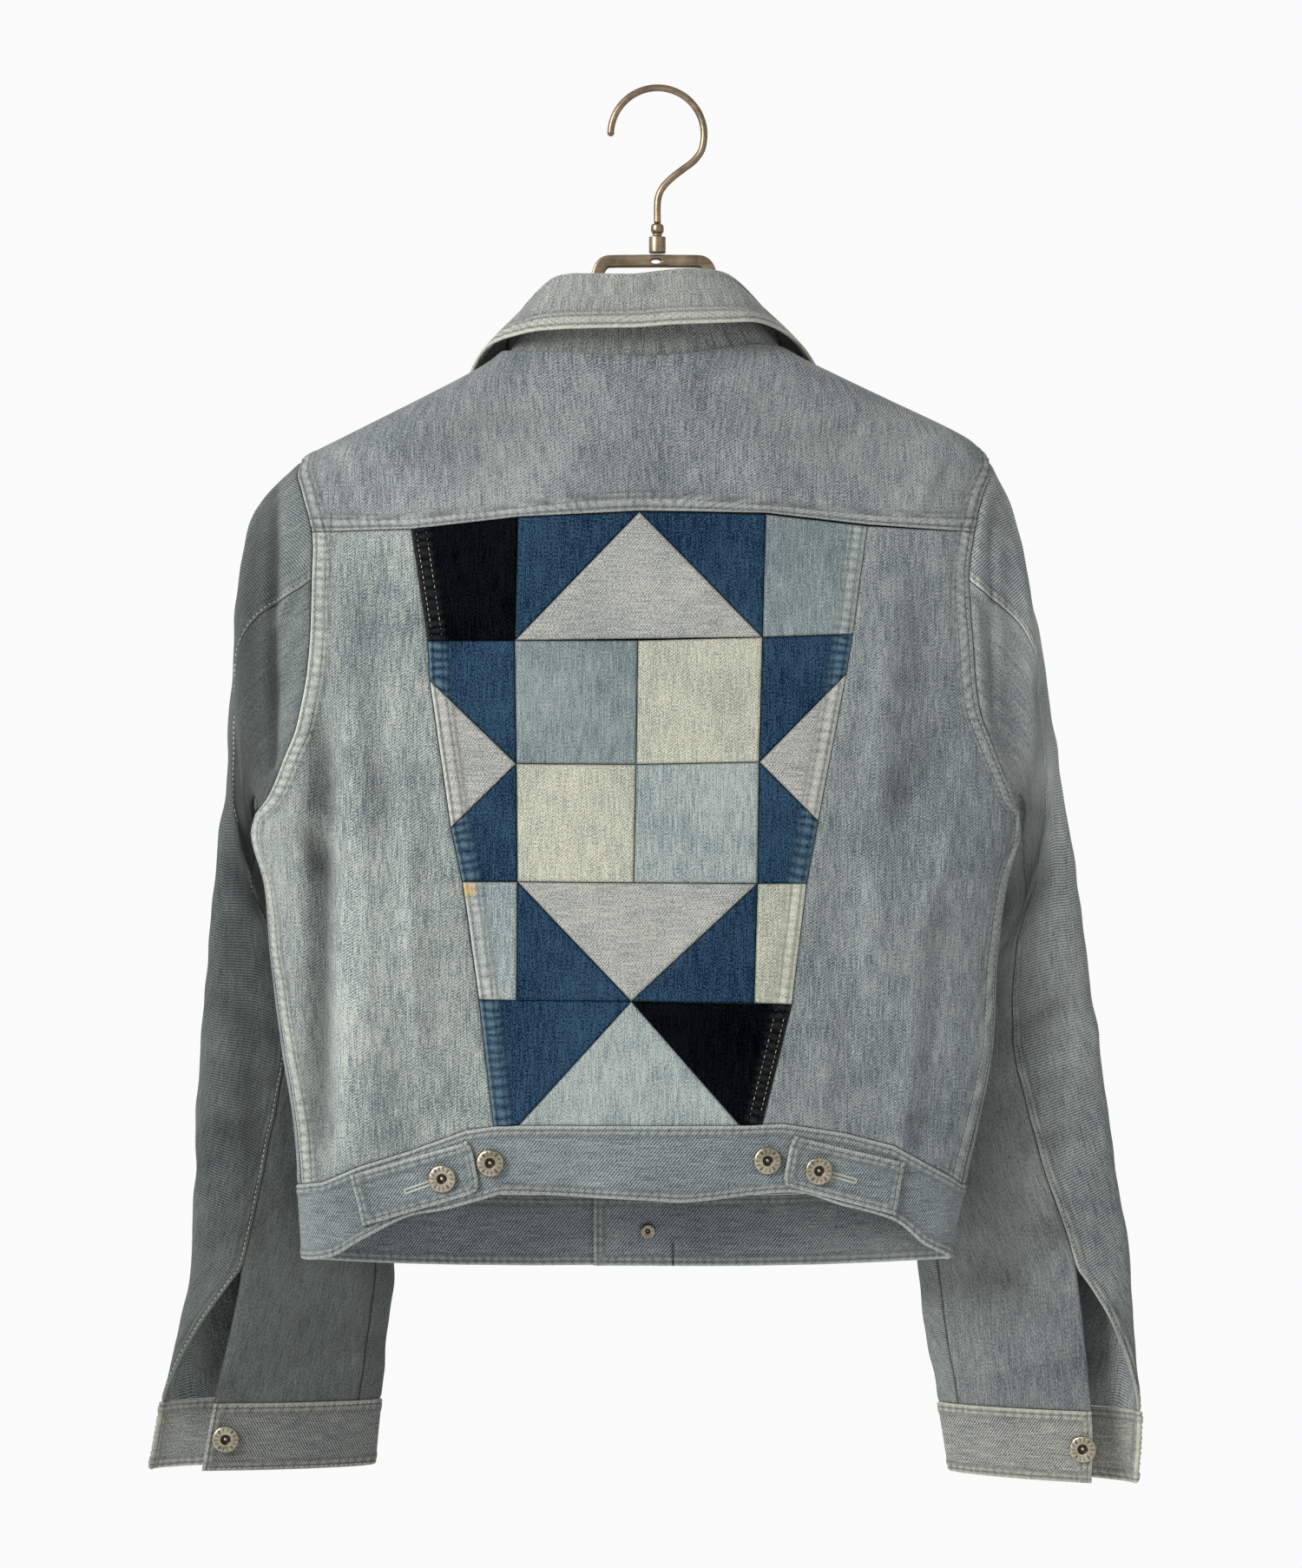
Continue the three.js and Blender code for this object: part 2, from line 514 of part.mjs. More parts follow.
function addFront(name) {
  const side = name === 'left' ? -1 : 1;
  const bottom = frontHem(side);
  const top = frontNeck(side);
  const seam = spread([[side * SIDE_SEAM, SIDE_BAND_TOP], armholePlace(name, UNDERARM)], 7);
  const shoulder = shoulderSeam(side).reverse();
  const outer = [...seam.slice(0, -1), ...armholeLine(name, FRONT_STEPS), ...shoulder.slice(1)];
  const edge = outer.map((_, i) => {
    const z = THREE.MathUtils.lerp(bottom[bottom.length - 1][1], NECK_LOW, i / (outer.length - 1));
    return [frontAngle(FRONT_MIDDLE - side * PLACKET, z, side), z];
  });
  const grid = [bottom, top, outer, edge].map(lifted);
  if (side > 0) grid.forEach((line) => line.forEach((p) => { p[2] = 0; }));
  cloth(`front_${name}`, bodyPanel(grid, SEAM), 'denim');
}
// The waistband runs once round the body, from under the right front's edge to the left front's.
function bandLine() {
  const right = frontHem(1).reverse();
  const back = onBack(steps(BAND_TOP, 12)).reverse();
  return [...right, ...back, ...frontHem(-1)];
}
const bandBottomEnds = [BAND_BOTTOM[0], BAND_BOTTOM[BAND_BOTTOM.length - 1]].map(([x, z]) => backAngle(x, z));
const bandBottomBack = smooth(onBack(BAND_BOTTOM));
const bandBottom = (angle) => (
  angle <= bandBottomEnds[0] || angle >= bandBottomEnds[1] ? frontBandBottom(angle) : bandBottomBack(angle));
function addWaistband() {
  const top = bandLine();
  const rows = [0, 0.5, 1].map((v) => top.map(([angle, z]) => {
    const side = Math.sign(angle);
    const height = THREE.MathUtils.lerp(bandBottom(angle), z, v);
    const across = Math.abs(angle) > 3 ? frontAngle(bodyPoint(angle, z).x - JACKET_X, height, side) : angle;
    return [across, height, frontLift(angle)];
  }));
  const normals = rows.map((row) => row.map(([angle, z]) => bodyNormal(angle, z)));
  const points = rows.map((row, i) => row.map(
    ([angle, z, lift], j) => bodyPoint(angle, z).addScaledVector(normals[i][j], lift),
  ));
  cloth('waistband', sheetGeometry(seamed(points, ['bottom']), normals, DOUBLE, BAND_LIFT), 'denim');
}

// A piece from its four corners, clockwise from the upper left, raised over the body.
function raisedStrip(corners, columns, rows, thickness, lift) {
  const [a, b, c, d] = corners;
  const grid = Array.from({ length: rows + 1 }, (_, i) => Array.from({ length: columns + 1 }, (__, j) => {
    const [u, v] = [j / columns, 1 - i / rows];
    const mix = (k) => (1 - v) * ((1 - u) * a[k] + u * b[k]) + v * ((1 - u) * d[k] + u * c[k]);
    return [backAngle(mix(0), mix(1)), mix(1)];
  }));
  const points = grid.map((row) => row.map(([angle, z]) => bodyPoint(angle, z)));
  const normals = grid.map((row) => row.map(([angle, z]) => bodyNormal(angle, z)));
  return sheetGeometry(points, normals, thickness, lift);
}
function addTabs() {
  const lift = BAND_LIFT + TAB_GAP + TAB;
  ['left', 'right'].forEach((name) => {
    cloth(`tab_${name}`, raisedStrip(TABS[name], 6, 2, TAB, lift), 'denim');
  });
}

function buttonAt(name, point, normal, scale = 1) {
  const profile = BUTTON_PROFILE.map(([r, h]) => new THREE.Vector2(r * scale, h * scale));
  const geometry = new THREE.LatheGeometry(profile, 12);
  geometry.rotateX(Math.PI / 2);
  const turn = new THREE.Quaternion().setFromUnitVectors(new THREE.Vector3(0, 0, 1), normal);
  geometry.applyQuaternion(turn);
  geometry.translate(point.x, point.y, point.z);
  metal(name, geometry, 'button');
}
function backButton(name, x, z, lift) {
  const angle = backAngle(x, z);
  const normal = bodyNormal(angle, z);
  buttonAt(name, bodyPoint(angle, z).addScaledVector(normal, lift), normal);
}
function addBackButtons() {
  const onTab = BAND_LIFT + TAB_GAP + TAB + 0.6;
  const onBand = BAND_LIFT + 0.6;
  ['left', 'right'].forEach((name) => {
    backButton(`tab_button_${name}`, ...TAB_BUTTONS[name], onTab);
    backButton(`band_button_${name}`, ...BAND_BUTTONS[name], onBand);
  });
}
function addFrontButtons() {
  BUTTON_HEIGHTS.forEach((z, i) => {
    const angle = frontAngle(FRONT_MIDDLE, z, -1);
    const normal = bodyNormal(angle, z);
    const onBand = i === BUTTON_HEIGHTS.length - 1 ? BAND_LIFT : 0;
    const point = bodyPoint(angle, z).addScaledVector(normal, OVERLAP_LIFT + onBand + 0.5);
    buttonAt(`front_button_${i + 1}`, point, normal);
  });
  const z = BUTTON_HEIGHTS[BUTTON_HEIGHTS.length - 1];
  const normal = bodyNormal(Math.PI, z).negate();
  const inside = bodyPoint(frontAngle(FRONT_MIDDLE, z, 1), z)
    .addScaledVector(normal, DOUBLE - BAND_LIFT + 0.5);
  buttonAt('waist_button_back', inside, normal, 0.53);
}

// ---- the sleeves ----
const smoothMax = (a, b, soft) => (a + b + Math.sqrt((a - b) ** 2 + soft * soft)) / 2;
// Holds a sleeve point in front of the body where it hangs below the armhole.
function clearOfBody(p, round) {
  const x = p.x - JACKET_X;
  const half = (sides(p.z, 1) + sides(p.z, 2)) / 2;
  const middle = (sides(p.z, 2) - sides(p.z, 1)) / 2;
  const out = Math.abs(x - middle) / half;
  const front = out < 1 ? depths(p.z, 2) * (1 - out * out) ** (PANEL_ROUND / 2) : -2.5 * (out - 1) * half;
  const room = SLEEVE_CLEARANCE + SLEEVE_FULLNESS * (1 - Math.sin(round));
  const pushed = smoothMax(p.y, front + room, 5);
  const share = 1 - THREE.MathUtils.smoothstep(p.z, -452, -440);
  p.y += (pushed - p.y) * share;
  return p;
}
function ringPoint([top, under, half, lean], side, round) {
  const place = ([x, y, z]) => new THREE.Vector3(side * x + JACKET_X, y, z);
  const [a, b] = [place(top), place(under)];
  const across = b.clone().sub(a).normalize();
  const behind = new THREE.Vector3(side * lean, -1, 0);
  behind.addScaledVector(across, -behind.dot(across)).normalize();
  const middle = a.clone().add(b).multiplyScalar(0.5);
  return middle.addScaledVector(a.clone().sub(b), Math.cos(round) / 2)
    .addScaledVector(behind, half * Math.sin(round));
}
const armholePoint = (name, round) => bodyPoint(...armholePlace(name, round));
// A sleeve point by ring number and angle round the sleeve: outer edge 0, back a quarter turn.
function sleevePoint(name, ring, round) {
  const side = name === 'left' ? -1 : 1;
  const rings = SLEEVES[name];
  const at = (k) => (k === 0 ? armholePoint(name, round) : ringPoint(rings[k - 1], side, round));
  const i = Math.min(Math.floor(ring), HEM_RING - 1);
  const t = ring - i;
  const [p, q] = [at(i), at(i + 1)];
  const dp = i > 0 ? q.clone().sub(at(i - 1)).multiplyScalar(0.5) : q.clone().sub(p);
  const dq = i + 1 < HEM_RING ? at(i + 2).sub(p).multiplyScalar(0.5) : q.clone().sub(p);
  const out = p.multiplyScalar((1 + 2 * t) * (1 - t) ** 2).addScaledVector(dp, t * (1 - t) ** 2)
    .addScaledVector(q, t * t * (3 - 2 * t)).addScaledVector(dq, -t * t * (1 - t));
  return ring > 0 ? clearOfBody(out, round) : out;
}
function sleeveNormal(name, ring, round) {
  const side = name === 'left' ? -1 : 1;
  const turn = sleevePoint(name, ring, round + 0.02).sub(sleevePoint(name, ring, round - 0.02));
  const down = sleevePoint(name, Math.min(ring + 0.05, HEM_RING), round)
    .sub(sleevePoint(name, Math.max(ring - 0.05, 0), round));
  return turn.cross(down).multiplyScalar(side).normalize();
}
const seamAt = (list, ring) => {
  const i = Math.min(Math.floor(ring), list.length - 2);
  return THREE.MathUtils.lerp(list[i], list[i + 1], ring - i);
};
// A part of the sleeve between two seams; places are fractions of the way round between them.
function sleevePiece(name, rings, seams, fractions, { thickness = CLOTH, lift = 0, kept = [] } = {}) {
  const grid = rings.map((ring) => {
    const [from, to] = seams(ring);
    return fractions.map((f) => [ring, THREE.MathUtils.lerp(from, to, f)]);
  });
  const points = grid.map((row) => row.map(([ring, round]) => sleevePoint(name, ring, round)));
  const normals = grid.map((row) => row.map(([ring, round]) => (
    ring === ARM_SEAM ? bodyNormal(...armholePlace(name, round)) : sleeveNormal(name, ring, round))));
  return sheetGeometry(seamed(points, kept), normals, thickness, lift);
}
const UNDER_STEPS = BACK_STEPS.slice(1);
const UPPER_STEPS = [
  BACK_STEPS[1], ...[...YOKE_STEPS].reverse(),
  ...FRONT_STEPS.slice(0, -1).reverse().map((turn) => turn - 2 * Math.PI),
];
const fractionsOf = (list) => list.map((v) => (v - list[0]) / (list[list.length - 1] - list[0]));
const UNDER_FRACTIONS = fractionsOf(UNDER_STEPS);
const UPPER_FRACTIONS = fractionsOf(UPPER_STEPS);
const underSeams = (ring) => [seamAt(BACK_SEAM, ring), seamAt(UNDER_SEAM, ring)];
// Below the top of the vent the upper sleeve's edge swings out to the sleeve's outer edge.
const ventSwing = (ring) => 1 - THREE.MathUtils.clamp(ring - VENT_RING, 0, 1);
const upperSeams = (ring) => [
  seamAt(BACK_SEAM, ring) * ventSwing(ring) + 0.03 * (1 - ventSwing(ring)),
  seamAt(UNDER_SEAM, ring) - 2 * Math.PI,
];
function addSleeve(name) {
  cloth(`sleeve_under_${name}`, sleevePiece(name, SLEEVE_ROWS, underSeams, UNDER_FRACTIONS), 'sleeve');
  cloth(`sleeve_upper_${name}`, sleevePiece(name, SLEEVE_ROWS, upperSeams, UPPER_FRACTIONS), 'sleeve');
  const [from, seam] = underSeams(CUFF_RING);
  const [flap] = upperSeams(CUFF_RING);
  const round = [
    ...UNDER_FRACTIONS.map((f) => THREE.MathUtils.lerp(from, seam, f)),
    ...[...UPPER_FRACTIONS].reverse().slice(1).map((f) => THREE.MathUtils.lerp(flap + 2 * Math.PI, seam, f)),
  ];
  const cuff = sleevePiece(name, [CUFF_RING, (CUFF_RING + HEM_RING) / 2, HEM_RING],
    () => [0, 1], round, { thickness: DOUBLE, lift: BAND_LIFT, kept: ['top'] });
  cloth(`cuff_${name}`, cuff, 'sleeve');
}
function addCuffButton(name) {
  const ring = CUFF_RING + 0.45;
  const round = CUFF_BUTTONS[name];
  const normal = sleeveNormal(name, ring, round);
  const point = sleevePoint(name, ring, round).addScaledVector(normal, BAND_LIFT + 0.9);
  buttonAt(`cuff_button_${name}`, point, normal);
}

// ---- the collar ----
function collarSide(name) {
  const side = name === 'left' ? -1 : 1;
  const rows = COLLAR_PLACES[name];
  const value = smooth(rows);
  const back = backNeck();
  const middle = (back.length - 1) / 2;
  const half = side < 0 ? back.slice(0, middle + 1).reverse() : back.slice(middle);
  const ownBack = half.map(([angle, z]) => [angle, z, 0]);
  const ownFront = frontNeck(side).slice(1, -2)
    .map(([angle, z]) => [angle, z, side < 0 ? frontLift(angle) : 0]);
  const line = [...ownBack, ...ownFront];
  return line.map(([angle, z, lift], i) => {
    const normal = bodyNormal(angle, z);
    const share = i < ownBack.length ? 0.5 * i / (ownBack.length - 1)
      : 0.5 + 0.5 * (i - ownBack.length + 1) / ownFront.length;
    const at = (k) => new THREE.Vector3(value(share, k) + JACKET_X, value(share, k + 1), value(share, k + 2));
    const fold = at(1);
    const seam = bodyPoint(angle, z).addScaledVector(normal, lift);
    const base = seam.clone().addScaledVector(fold.clone().sub(seam).normalize(), COLLAR_GAP);
    return { base, normal, fold, edge: at(4) };
  });
}
// Across the collar: up from the neckline, over the fold, down to the leaf's edge.
function collarColumn({ base, normal, fold, edge }) {
  const outward = edge.clone().sub(fold).setZ(0).normalize();
  const up = new THREE.Vector3(0, 0, 1);
  const radius = 2.4;
  const stand = fold.clone().addScaledVector(outward, -radius).addScaledVector(up, -radius);
  const leaf = fold.clone().addScaledVector(outward, radius).addScaledVector(up, -radius);
  return [
    base, base.clone().lerp(stand, 0.5), stand, fold, leaf, leaf.clone().lerp(edge, 0.5), edge,
  ].map((point, i) => ({ point, normal: i === 0 ? normal : null }));
}
function addCollar() {
  const left = collarSide('left').reverse();
  const right = collarSide('right');
  const columns = [...left, ...right.slice(1)].map(collarColumn);
  const points = columns[0].map((_, i) => columns.map((column) => column[i].point));
  const normals = points.map((row, i) => row.map((_, j) => {
    if (i === 0) return columns[j][0].normal;
    const last = row.length - 1;
    const along = points[i][Math.min(j + 1, last)].clone().sub(points[i][Math.max(j - 1, 0)]);
    const up = points[Math.min(i + 1, points.length - 1)][j].clone().sub(points[i - 1][j]);
    return along.cross(up).normalize();
  }));
  cloth('collar', sheetGeometry(seamed(points, ['top']), normals, COLLAR), 'denim');
}

// ---- the hanger ----
// A closed rod through sections along a line in the hanger's own plane, rounded or flat.
function rodGeometry(line, section) {
  const positions = [];
  const faces = [];
  line.forEach(([x, z, ...size], i) => {
    const [before, after] = [line[Math.max(i - 1, 0)], line[Math.min(i + 1, line.length - 1)]];
    const length = Math.hypot(after[0] - before[0], after[1] - before[1]);
    const [nx, nz] = [-(after[1] - before[1]) / length, (after[0] - before[0]) / length];
    section(...size).forEach(([out, deep]) => positions.push(x + nx * out, deep, z + nz * out));
  });
  const n = positions.length / 3 / line.length;
  for (let i = 0; i < line.length - 1; i += 1) {
    for (let k = 0; k < n; k += 1) {
      const [a, b] = [i * n + k, i * n + (k + 1) % n];
      faces.push([a, b, b + n], [a, b + n, a + n]);
    }
  }
  const last = (line.length - 1) * n;
  for (let k = 1; k < n - 1; k += 1) faces.push([0, k + 1, k], [last, last + k, last + k + 1]);
  return outwardGeometry(positions, faces);
}
const circleSection = (radius) => Array.from({ length: 10 }, (_, k) => {
  const angle = 2 * Math.PI * k / 10;
  return [radius * Math.cos(angle), radius * Math.sin(angle)];
});
const barSection = (tall, deep) => {
  const chamfer = Math.min(tall, deep) * 0.25;
  const [h, d] = [tall / 2, deep / 2];
  return [
    [-h, -d + chamfer], [-h + chamfer, -d], [h - chamfer, -d], [h, -d + chamfer],
    [h, d - chamfer], [h - chamfer, d], [-h + chamfer, d], [-h, d - chamfer],
  ];
};
function addHook() {
  const arc = (from, to, n) => Array.from({ length: n + 1 }, (_, i) => {
    const angle = from + (to - from) * i / n;
    return [HOOK_RADIUS * Math.cos(angle), HOOK_CENTRE + HOOK_RADIUS * Math.sin(angle), WIRE];
  });
  const tip = arc(Math.PI * 0.985, Math.PI * 1.005, 1).reverse()
    .map(([x, z], i) => [x, z, WIRE * (i ? 0.9 : 0.45)]);
  const line = [...tip, ...arc(Math.PI * 0.96, -0.16, 20), ...SHANK.map(([x, z]) => [x, z, WIRE])];
  metal('hook', rodGeometry(line, circleSection), 'metal');
}
function addFerrule() {
  const profile = [...FERRULE_PROFILE].reverse().map(([r, z]) => new THREE.Vector2(r, z));
  const geometry = new THREE.LatheGeometry(profile, 16);
  geometry.rotateX(Math.PI / 2);
  metal('ferrule', geometry, 'metal');
}
function addFrame() {
  const left = [...FRAME_HALF].reverse().map(([x, ...rest]) => [-x - FRAME_LEAN[0], ...rest]);
  const right = FRAME_HALF.map(([x, ...rest]) => [x - FRAME_LEAN[1], ...rest]);
  const bar = rodGeometry([...left, ...right], barSection);
  const shape = new THREE.Shape();
  shape.absellipse(-1, -105.4, 3, 1.35, 0, 2 * Math.PI);
  const hole = new THREE.ExtrudeGeometry(shape, { depth: 20, bevelEnabled: false, curveSegments: 8 });
  hole.translate(0, 0, -10);
  hole.rotateX(Math.PI / 2);
  metal('hanger_frame', carved(bar, hole), 'metal');
}
function carved(body, tool) {
  const [a, b] = [body, tool].map((geometry) => {
    geometry.deleteAttribute('normal');
    geometry.deleteAttribute('uv');
    const merged = mergeVertices(geometry, 1e-4);
    return new wasm.Manifold(new wasm.Mesh({
      numProp: 3,
      vertProperties: merged.attributes.position.array,
      triVerts: new Uint32Array(merged.index.array),
    }));
  });
  const mesh = a.subtract(b).getMesh();
  const geometry = new THREE.BufferGeometry();
  geometry.setAttribute('position', new THREE.BufferAttribute(mesh.vertProperties, 3));
  geometry.setIndex(new THREE.BufferAttribute(mesh.triVerts, 1));
  geometry.computeVertexNormals();
  return geometry;
}

addYoke();
addBackSide('left');
addBackSide('right');
addPatches();
addFront('left');
addFront('right');
addWaistband();
addTabs();
addBackButtons();
addFrontButtons();
addSleeve('left');
addSleeve('right');
addCuffButton('left');
addCuffButton('right');
addCollar();
addHook();
addFerrule();
addFrame();

const jacket = new THREE.Group();
pieces.forEach(({ name, geometry, colour, roughness, metalness }) => {
  const mesh = new THREE.Mesh(geometry, new THREE.MeshStandardMaterial({
    color: COLOURS[colour], roughness, metalness,
  }));
  mesh.name = name;
  jacket.add(mesh);
});

export default jacket;
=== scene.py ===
import math
import bmesh
import bpy
import numpy as np
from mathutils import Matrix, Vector


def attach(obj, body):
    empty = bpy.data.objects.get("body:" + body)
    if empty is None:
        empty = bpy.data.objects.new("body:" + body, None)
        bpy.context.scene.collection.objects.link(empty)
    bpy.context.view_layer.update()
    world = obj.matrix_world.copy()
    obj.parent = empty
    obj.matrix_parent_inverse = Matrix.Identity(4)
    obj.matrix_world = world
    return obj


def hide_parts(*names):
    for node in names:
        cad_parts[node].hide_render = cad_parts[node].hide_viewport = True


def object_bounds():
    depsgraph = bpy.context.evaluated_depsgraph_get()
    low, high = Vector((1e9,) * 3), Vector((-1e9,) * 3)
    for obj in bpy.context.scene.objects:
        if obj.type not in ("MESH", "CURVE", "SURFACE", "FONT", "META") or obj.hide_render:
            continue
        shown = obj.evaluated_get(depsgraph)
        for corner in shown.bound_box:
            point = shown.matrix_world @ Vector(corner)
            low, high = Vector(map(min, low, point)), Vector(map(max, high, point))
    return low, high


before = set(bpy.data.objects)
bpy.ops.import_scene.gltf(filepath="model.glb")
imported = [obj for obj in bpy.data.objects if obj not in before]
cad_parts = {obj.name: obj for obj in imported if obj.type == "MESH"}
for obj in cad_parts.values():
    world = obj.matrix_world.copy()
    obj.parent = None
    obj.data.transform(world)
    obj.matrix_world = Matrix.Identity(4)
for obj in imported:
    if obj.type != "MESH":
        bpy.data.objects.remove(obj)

CAD_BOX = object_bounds()
PI = math.pi

# ---- dimensions, the same as the solids' ----
JACKET_X = -11
SIDE_SIGN = {"left": -1, "right": 1}
SEAM = 0.3
CLOTH = 1.5
DOUBLE = 3
PANEL_ROUND = 0.7
SIDE_SEAM = 1.4
SHOULDER_SEAM = PI / 2 + 0.28
BAND_LIFT = 1
OVERLAP_LIFT = 3.8

SIDES = [
    [-160, 83, 90], [-171, 99, 112], [-192, 139, 156], [-214, 183, 201], [-225, 204, 213],
    [-235, 215, 219], [-250, 226, 223], [-300, 239, 236], [-360, 243, 240], [-410, 240, 238],
    [-440, 236, 234], [-460, 240, 235], [-490, 232, 227], [-536, 228, 221], [-592, 221, 218],
    [-636, 214, 210], [-675, 211, 201], [-722, 208, 191], [-740, 207, 189],
]
DEPTHS = [
    [-160, 31, 31], [-171, 35, 34], [-192, 39, 38], [-225, 43, 41], [-300, 45, 43],
    [-450, 43, 41], [-600, 38, 37], [-722, 34, 35], [-740, 34, 35],
]
ARMHOLES = {
    "left": (
        [[-229, 208.5], [-238, 211], [-248, 208], [-274, 201], [-302, 201], [-354, 203],
         [-392, 210], [-415, 219], [-433, 227], [-446, 234]],
        [[-229, 208.5], [-238, 208], [-252, 204], [-274, 198], [-302, 195], [-350, 196],
         [-390, 203], [-412, 212], [-430, 222], [-446, 234]],
    ),
    "right": (
        [[-229, 215.5], [-238, 216], [-250, 211], [-275, 205], [-305, 202], [-338, 204],
         [-381, 208], [-406, 217], [-430, 227], [-446, 232]],
        [[-229, 215.5], [-238, 213], [-252, 208], [-274, 202], [-302, 198], [-350, 199],
         [-390, 204], [-412, 212], [-430, 221], [-446, 232]],
    ),
}
ARM_TOP, ARM_BOTTOM = -229, -446
YOKE_ANGLE = 0.946
UNDERARM = 3.0
UNDERARM_TURN, OVERARM_TURN = (2.75, 3.6), (-0.1, 0.15)  # the round lower and upper ends of an armhole
SLEEVES = {
    "left": [
        [[238, 2, -262], [238, 13, -440], 27, 0.22], [[246, 8, -320], [239, 32, -468], 26, 0.3],
        [[254, 14, -390], [232, 54, -516], 25, 0.3], [[263, 20, -470], [192, 72, -577], 23, 0.15],
        [[271, 25, -550], [166, 78, -630], 21, 0], [[277, 28, -645], [158, 80, -690], 19, 0],
        [[281, 32, -727], [157, 80, -745], 18, 0], [[299, 36, -815], [165, 76, -818], 16, 0],
        [[307, 38, -858], [169, 74, -860], 15, 0],
    ],
    "right": [
        [[231, 2, -262], [235, 13, -440], 27, 0.22], [[243, 8, -320], [237, 32, -468], 26, 0.3],
        [[256, 14, -390], [232, 54, -516], 25, 0.3], [[270, 20, -470], [200, 72, -577], 23, 0.15],
        [[281, 25, -550], [182, 78, -630], 21, 0], [[294, 28, -645], [177, 80, -690], 19, 0],
        [[306, 32, -727], [178, 80, -745], 18, 0], [[313, 36, -821], [190, 76, -820], 16, 0],
        [[311, 38, -867], [197, 74, -864], 15, 0],
    ],
}
VENT_RING, CUFF_RING, HEM_RING = 7, 8, 9
ARM_SEAM = 0.07
BACK_SEAM = [1.25, 1.38, 1.45, 1.5, 1.48, 1.42, 1.2, 0.97, 0.96, 0.96]
UNDER_SEAM = [3.0, 2.9, 2.75, 2.6, 2.5, 2.45, 2.42, 2.42, 2.44, 2.44]
YOKE_STEPS = [-0.35, -0.1, 0.15, 0.4, 0.68, YOKE_ANGLE]
BACK_STEPS = [YOKE_ANGLE, 1.25, 1.5, 1.75, 2.0, 2.25, 2.5, 2.75, UNDERARM]
FRONT_STEPS = [UNDERARM, PI, 3.35, 3.6, 3.85, 4.15, 4.5, 4.85, 5.2, 5.55, 2 * PI - 0.35]
YOKE_HEM = [
    [-201, -274], [-139, -273], [-74, -266], [0, -262.5], [77, -264], [139, -271], [205, -275],
]
BAND_TOP = [
    [-195, -673], [-172, -663], [-141, -653], [-106, -640], [-89, -637.5], [-74, -637],
    [61.5, -637], [75, -636.5], [88, -636], [126, -642], [156, -650], [179, -663], [190, -669],
]
BAND_BOTTOM = [
    [-208, -722], [-190, -719], [-169, -707], [-141, -693], [-120, -689], [-95, -682], [-82, -679],
    [8, -683], [28, -684], [94, -678], [123, -686], [156, -696], [176, -712], [191, -722],
]
SIDE_BAND_TOP = -675
PATCH_LEFT = [
    [-139, -273], [-129, -341], [-128, -365], [-115, -455], [-108, -488], [-98, -560], [-89, -637.5],
]
PATCH_RIGHT = [
    [139, -271], [130, -337], [126, -361], [109, -451], [102, -489], [93, -563], [75, -636.5],
]
ROWS = [
    [[-74, -266], [0, -262.5], [77, -264]], [[-76, -341], [-1, -341], [75, -339]],
    [[-75, -416], [-2, -416.5], [73, -415]], [[-74.5, -488], [-3.5, -488.5], [72, -489]],
    [[-75, -560.5], [-5, -561], [70, -562]], [[-74, -637], [-6, -637], [61.5, -637]],
]
NECK_FRONT = [[87, -163.5], [83, -172], [76, -185], [66, -199], [54, -212], [38, -226], [22, -235]]
NECK_LOW = -240
NECK_SIDE = -163.5
NECK_BACK = [[-70, -162], [-47, -164], [-22, -165.5], [2, -166], [26, -164.5], [50, -160.5], [72, -158]]
FRONT_MIDDLE = 5
PLACKET = 34
FRONT_SIDES = [1.4, 1.66, 1.92, 2.18, 2.44, 2.69, 2.91]
FRONT_EDGE = [6, -14, -PLACKET]
BUTTON_HEIGHTS = [-262, -345, -428, -511, -594, -708]
SLEEVE_CLEARANCE, SLEEVE_FULLNESS = 4, 7
COLLAR_PLACES = {
    "left": [
        [0, 0, -31, -117.5, 0, -52, -152], [0.2, -33, -29, -117.5, -34, -50, -152.5],
        [0.36, -50, -22, -119, -60, -42, -153], [0.46, -62, -11, -127, -83, -26, -156],
        [0.54, -77, 4, -145, -98, 8, -163], [0.64, -80, 22, -160, -112, 34, -190],
        [0.76, -66, 38, -186, -110, 50, -226], [0.88, -40, 46, -210, -90, 57, -264],
        [1, -6, 50, -231, -62, 58, -292],
    ],
    "right": [
        [0, 0, -31, -117.5, 0, -52, -152], [0.2, 33, -29, -115, 36, -50, -149],
        [0.36, 52, -22, -116.5, 66, -42, -147.5], [0.46, 65, -11, -126, 84, -26, -150],
        [0.54, 80, 4, -143, 102, 8, -160], [0.64, 86, 22, -158, 118, 34, -188],
        [0.76, 74, 38, -184, 118, 50, -224], [0.88, 50, 46, -208, 100, 57, -262],
        [1, 14, 50, -229, 72, 58, -290],
    ],
}
TAB, TAB_GAP = 2.2, 0.9
TABS = {
    "left": [[-177, -668], [-103, -646], [-97, -677], [-169, -699]],
    "right": [[93, -643], [162, -660], [156, -692], [87, -673]],
}
TAB_BUTTONS = {"left": (-120, -669), "right": (109, -664)}
BAND_BUTTONS = {"left": (-91, -659.5), "right": (78, -658)}
HOLE_ENDS = {"left": (-143, -677.5), "right": (132, -671)}
CUFF_BUTTONS = {"left": 1.14, "right": 1.07}
STEP_AT = {"left": 222, "right": 213}  # where a sleeve drops beside its armhole, from the middle
FOLD_RADIUS = 2.4
COLLAR_CLOTH = 2.1
WIRE = 2.2
HOOK_RADIUS = 28.9
SHANK = [[27, -37], [22.5, -43], [16, -48], [9.5, -53], [4, -58.5], [1, -64], [0, -70], [0, -81.5]]
FERRULE_PROFILE = [
    [0, -81.8], [2.4, -81.8], [3.6, -82.6], [4, -83.8], [4, -86.4], [3.3, -87.8], [2.9, -88.4], [3.0, -89.2],
    [3.8, -89.9], [5.1, -90.3], [5.25, -91], [5.25, -98.8], [5.05, -99.8], [4.4, -100.3], [0, -100.4],
]
